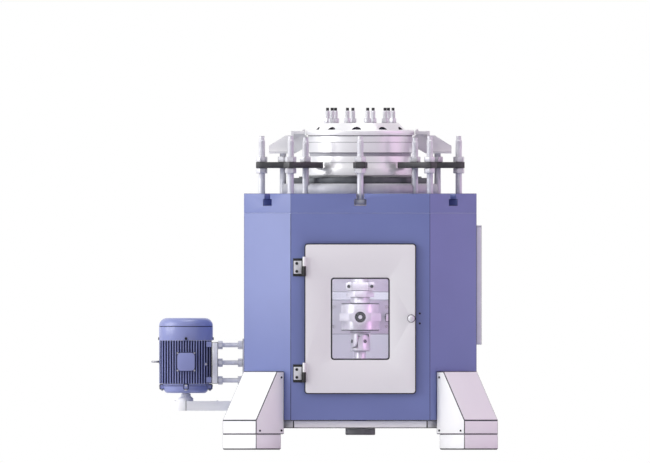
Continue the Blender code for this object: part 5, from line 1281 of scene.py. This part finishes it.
# %% [markdown]
# ## Belt drive
#
# The belt runs in a long flat case with round ends. It is a stretched drum: the outline is two half
# circles, and a slightly smaller one is cut from it to leave the sheet. A dark seam runs round it
# below the motor, where its two halves meet.

# %% Belt guard
CASE, SHEET = 0.066, 0.003
CASE_LOW, CASE_HIGH = 0.199, 0.248


def stadium(radius, left, right, steps=24):
    """Two half circles joined by straight lines."""
    points = []
    for x, start in ((right, -90.0), (left, 90.0)):
        points += arc((x, 0.0), radius, [start + 180.0 * i / steps for i in range(steps + 1)])
    return points


guard = plate("belt_case", stadium(CASE, MX, SX), CASE_LOW, CASE_HIGH)
section = [(0.0, 0.2470), (0.0375, 0.2470), (0.0375, 0.262), (0.0250, 0.273), (0.0235, 0.286)]
fuse(guard, turn("shaft_boss", [*section, (0.0, 0.286)], 64, MOTOR))
for left in (SX - 0.44475, SX + 0.0396):
    fuse(guard, block("bracket", (left, -0.033, 0.1503), (left + 0.010, 0.033, 0.200)))
cut(
    guard,
    plate("case_inside", stadium(CASE - SHEET, MX, SX), CASE_LOW + SHEET, CASE_HIGH - SHEET),
    rod("motor_bore", 0.0214, 0.21, 0.30, MOTOR, sides=48),
    rod("spindle_bore", 0.034, 0.18, 0.26, SPINDLE, sides=48),
)
stands_for(dress(guard, 0.0024, *whites), "frame", "white_paint", "belt_guard")
print("belt case", len(guard.data.polygons), "faces")

# %% [markdown]
# The belt and pulleys inside keep their CAD meshes, as nothing shows them, and only get finishes.

# %% Seam, screws and hidden drive
seam = block("case_seam", (MX - 0.0014, -0.0668, 0.1983), (MX + 0.0014, 0.0668, 0.2486))
cut(seam, block("seam_inside", (MX - 0.01, -0.0657, 0.1994), (MX + 0.01, 0.0657, 0.2475)))
cut(seam, rod("seam_bore", 0.0380, 0.23, 0.26, MOTOR, sides=48))
stands_for(dress(seam, 0.0003, BLACK_RUBBER), "frame", "belt_rubber")
case_spots = [(-0.054, 0), *((x, y) for x in (0.0, 0.16) for y in (-0.055, 0.055))]
case_places = [towards((0, 0, 1), (MX + x, y, CASE_HIGH)) for x, y in case_spots]
fixed("case_screws", "frame", "plated_steel", 0.0050, 0.0030, case_places, *zincs)
hidden = {"drive_belt": BLACK_RUBBER, "motor_rotor": TURNED_STEEL, "spindle_pulley": TURNED_STEEL}
for node, material in hidden.items():
    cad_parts[node].material_slots[0].material = material
print("case screws", len(case_places))

# %% [markdown]
# ## Spindle and universal joint
#
# The spindle stands in two bearing housings. On top of it a universal joint passes the turning on to
# the load head, which swings a little as the shaft bends. Each yoke is a round base with two ears,
# cut from one bar: the ears are flat inside and round outside. The cross has four pins in them.

# %% Bearing housings and spindle
BORE = 0.0316

low = floor_of("lower_bearing_cap")
section = [
    (0.0, low), (0.072, low), (0.076, low + 0.004), (0.076, low + 0.034), (BORE, low + 0.034),
    (BORE, low + 0.012), (0.0, low + 0.012),
]
# The cover's light grey is painted light, to lift it out of the shade under the bench.
cap = dress(turn("lower_bearing_cover", section, 96), 0.0010, CAP_GREY_WITH_PAINTED_LIGHT, STEEL_EDGE)
stands_for(cap, "frame", "dark_steel", "lower_bearing_cap")
section = [
    (BORE, 0.290), (0.0697, 0.290), (0.0697, 0.3053), (0.105, 0.3053), (0.105, 0.3253),
    (0.075, 0.3253), (0.075, 0.424), (0.069, 0.430), (BORE, 0.430),
]
housing = dress(turn("upper_bearing_housing", section, 96), 0.0012, DARK_STEEL, STEEL_EDGE)
bolt = hex_nut("bolt", 0.016, 0.3253, 0.3343, 0.0015)
around = [about(30.0 + 60.0 * i) @ shift(0.090, 0, 0) for i in range(6)]
housing = join("bolted_housing", [housing, spread(bolt, "bolts", around)])
stands_for(housing, "frame", "dark_steel", "spindle_housing")
low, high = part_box("spindle_shaft")
brights = (TURNED_STEEL, STEEL_EDGE)
shaft = dress(rod("ground_spindle", 0.031, low.z, high.z, sides=64), 0.0008, *brights)
stands_for(shaft, "spindle", "machined_steel", "spindle_shaft")
print("spindle from", round(low.z, 3), "to", round(high.z, 3))

# %% Yokes
JOINT = 0.553
EAR = 0.033


def yoke(name, base, root, direction, angle, node):
    """A yoke from its base's section and the height its ears grow from, turned by an angle."""
    made = turn(name, base, 64, ORIGIN)
    outline = [(EAR * math.cos(a), JOINT + EAR * direction * math.sin(a))
               for a in (math.pi * i / 16 for i in range(17))]
    outline += [(-EAR, root), (EAR, root)]
    for near, far in ((0.034, 0.060), (-0.060, -0.034)):
        ear = plate("ear", outline, near, far, "X")
        cut(ear, rod("round_bar", 0.050, 0.45, 0.66, ORIGIN, sides=96), how="INTERSECT")
        cut(ear, rod("pin_bore", 0.0103, near - 0.01, far + 0.01, (0.0, JOINT), "X"))
        fuse(made, ear)
    moved(dress(made, 0.0018, *brights), about(angle))
    return stands_for(made, "spindle", "machined_steel", node)


base = [(0.0, 0.501), (0.0455, 0.501), (0.0515, 0.507), (0.0515, 0.517), (0.0, 0.517)]
lower = yoke("lower_yoke", base, 0.515, 1.0, 120.0, "ujoint_lower_yoke")
base = [
    (0.0, 0.590), (0.0435, 0.590), (0.0475, 0.594), (0.033, 0.5947), (0.033, 0.5967), (0.0, 0.5967),
]
upper = yoke("upper_yoke", base, 0.593, -1.0, 30.0, "ujoint_upper_yoke")
print("yokes", len(lower.data.polygons) + len(upper.data.polygons), "faces")

# %% Cross
CROSS, CROSS_HALF = 0.021, 0.01575
PIN, PIN_REACH = 0.0099, 0.0497

cross = rod("joint_cross", CROSS, JOINT - CROSS_HALF, JOINT + CROSS_HALF, ORIGIN, sides=48)
for axis in ("X", "Y"):
    fuse(cross, rod("pin", PIN, -PIN_REACH, PIN_REACH, (0.0, JOINT), axis))
moved(dress(cross, 0.0010, DARK_STEEL, STEEL_EDGE), about(30.0))
stands_for(cross, "spindle", "machined_steel", "ujoint_cross")
print("universal joint at", JOINT)

# %% [markdown]
# ## Load head
#
# The head is a turned housing with bearings for the load shaft. Around it sits a square band with
# cut corners, and in front of the band a boss takes a black socket screw that sets the load.

# %% Head
section = [
    (0.0, 0.597), (0.053, 0.597), (0.053, 0.607), (0.094, 0.607), (0.097, 0.610), (0.097, 0.744),
    (0.094, 0.747), (0.050, 0.747), (0.050, 0.7787), (0.0406, 0.7787), (0.0406, 0.630), (0.0, 0.630),
]
head_body = dress(turn("turned_load_head", section, 128), 0.0022, *brights)
stands_for(head_body, "spindle", "machined_steel", "load_head")
print("head", len(head_body.data.polygons), "faces")

# %% Band and its screw
BAND_LOW, BAND_HIGH = 0.656, 0.697
BOSS = (SX, 0.6765)
wide, flat = 0.106, 0.056

outline = [
    (wide, -flat), (wide, flat), (flat, wide), (-flat, wide),
    (-wide, flat), (-wide, -flat), (-flat, -wide), (flat, -wide),
]
band = plate("square_band", [(SX + x, y) for x, y in outline], BAND_LOW, BAND_HIGH)
finish(band, *brights)
fuse(band, rod("boss", 0.0425, -0.128, -0.088, BOSS, "Y", 64))
cut(band, rod("head_bore", 0.0973, 0.60, 0.75, sides=128))
cut(band, finish(rod("recess", 0.028, -0.140, -0.122, BOSS, "Y", 64), BLACK_STEEL_AND_SHADE))
dress(band, 0.0022)
head_screw = rod("head_screw", 0.0185, -0.1274, -0.115, BOSS, "Y", 48)
cut(head_screw, rod("hexagon", 0.0125, -0.140, -0.119, BOSS, "Y", 6))
dress(head_screw, 0.0012, *blacks)
bottom = finish(rod("socket_floor", 0.0100, -0.1258, -0.1230, BOSS, "Y", 24), ZINC_PLATE)
floor_ring = finish(rod("recess_floor", 0.0278, -0.1225, -0.1212, BOSS, "Y", 48), BLACK_STEEL_AND_SHADE)
band = join("band_with_screw", [band, head_screw, bottom, floor_ring])
stands_for(band, "spindle", "machined_steel", "load_band")
print("band", len(band.data.polygons), "faces")

# %% [markdown]
# The load shaft hangs from the hub down into the head. It is turned with a slow taper, and an
# eight-sided lock nut and a washer hold it on the head's neck. Above them a split clamp grips it,
# with a saw cut on one side and a bolt on each ear.

# %% Load shaft
low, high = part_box("load_shaft")
section = [
    (0.0, low.z), (0.038, low.z), (0.040, low.z + 0.002), (0.040, 0.790), (0.062, 0.790),
    (0.062, 0.811), (0.044, 0.811), (0.044, 1.050), (0.060, 1.300), (0.060, high.z - 0.022),
    (0.110, high.z - 0.022), (0.110, high.z), (0.0, high.z),
]
load_shaft = dress(turn("tapered_load_shaft", section, 96), 0.0020, *brights)
lock = hex_nut("lock_nut", 0.139, 0.779, 0.801, 0.0030, brights, sides=8)
load_shaft = join("load_shaft_with_lock_nut", [load_shaft, moved(lock, about(22.5))])
stands_for(load_shaft, "frame", "machined_steel", "load_shaft")
print("load shaft from", round(low.z, 3), "to", round(high.z, 3))

# %% Split clamp
low, high = floor_of("split_clamp"), top_of("split_clamp")
EARS, EAR_THICK, BOLT_AT = 0.075, 0.024, 0.059
near, far = (SX - 0.0425, -0.0619, low + 0.001), (SX + 0.0425, 0.0619, high - 0.001)

ears = rounded((SX - EARS, low), (SX + EARS, high), 0.012)
grip = finish(plate("split_clamp_body", ears, -EAR_THICK, EAR_THICK, "Y"), *brights)
fuse(grip, block("clamp_block", near, far))
cut(
    grip,
    rod("shaft_bore", 0.0443, low - 0.01, high + 0.01, sides=96),
    block("saw_cut", (SX + 0.030, -0.0015, low - 0.01), (SX + 0.090, 0.0015, high + 0.01)),
)
parts = [dress(grip, 0.0022)]
for x in (-BOLT_AT, BOLT_AT):
    for way in (-1, 1):
        bolt = socket_screw("clamp_bolt", 0.0085, 0.0078, *blacks)
        spot = (SX + x, way * EAR_THICK, (low + high) / 2)
        parts.append(moved(bolt, towards((0, way, 0), spot)))
grip = join("split_clamp_with_bolts", parts)
stands_for(grip, "frame", "machined_steel", "split_clamp")
print("split clamp", len(grip.data.polygons), "faces")

# %% [markdown]
# ## Inside the chamber
#
# The rail behind the head carries a small sensor that watches the shaft's swing, and four screws.
# Two black discs beside the door mark its switch holes; their black is painted shade.

# %% Sensor, rail screws and painted switch holes
rail_spots = [(SX + x, 0.200, z) for x in (-0.134, 0.134) for z in (0.628, 0.728)]
rail_places = [towards(FRONT, spot) for spot in rail_spots]
fixed("rail_screws", "frame", "plated_steel", 0.0085, 0.0060, rail_places, *zincs)
sensor = block("sensor_box", (SX + 0.128, 0.165, 0.653), (SX + 0.170, 0.1998, 0.695))
dress(sensor, 0.0030, *whites, segments=3)
lens = rod("sensor_lens", 0.009, SX + 0.1255, SX + 0.1285, (0.182, 0.674), "X")
parts = [sensor, dress(lens, 0.0006, *blacks)]
stands_for(join("swing_sensor", parts), "frame", "white_paint")
switch_hole_shades = []
for z in (0.644, 0.6946):
    switch_hole_shade = rod("switch_hole_shade", 0.0052, -0.5945, -0.5925, (SX + 0.3035, z), "Y")
    switch_hole_shades.append(dress(switch_hole_shade, 0.0006, *blacks))
stands_for(join("painted_shade_switch_holes", switch_hole_shades), "frame", "black_steel")
print("rail screws", len(rail_places), "and plungers", len(switch_hole_shades))

# %% [markdown]
# ## Bounds
#
# The dressed bench must stay inside the CAD model's box, so its own box is printed.

# %% Bounds
low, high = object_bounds()
print("dressed box", [round(v, 4) for v in (*low, *high)])
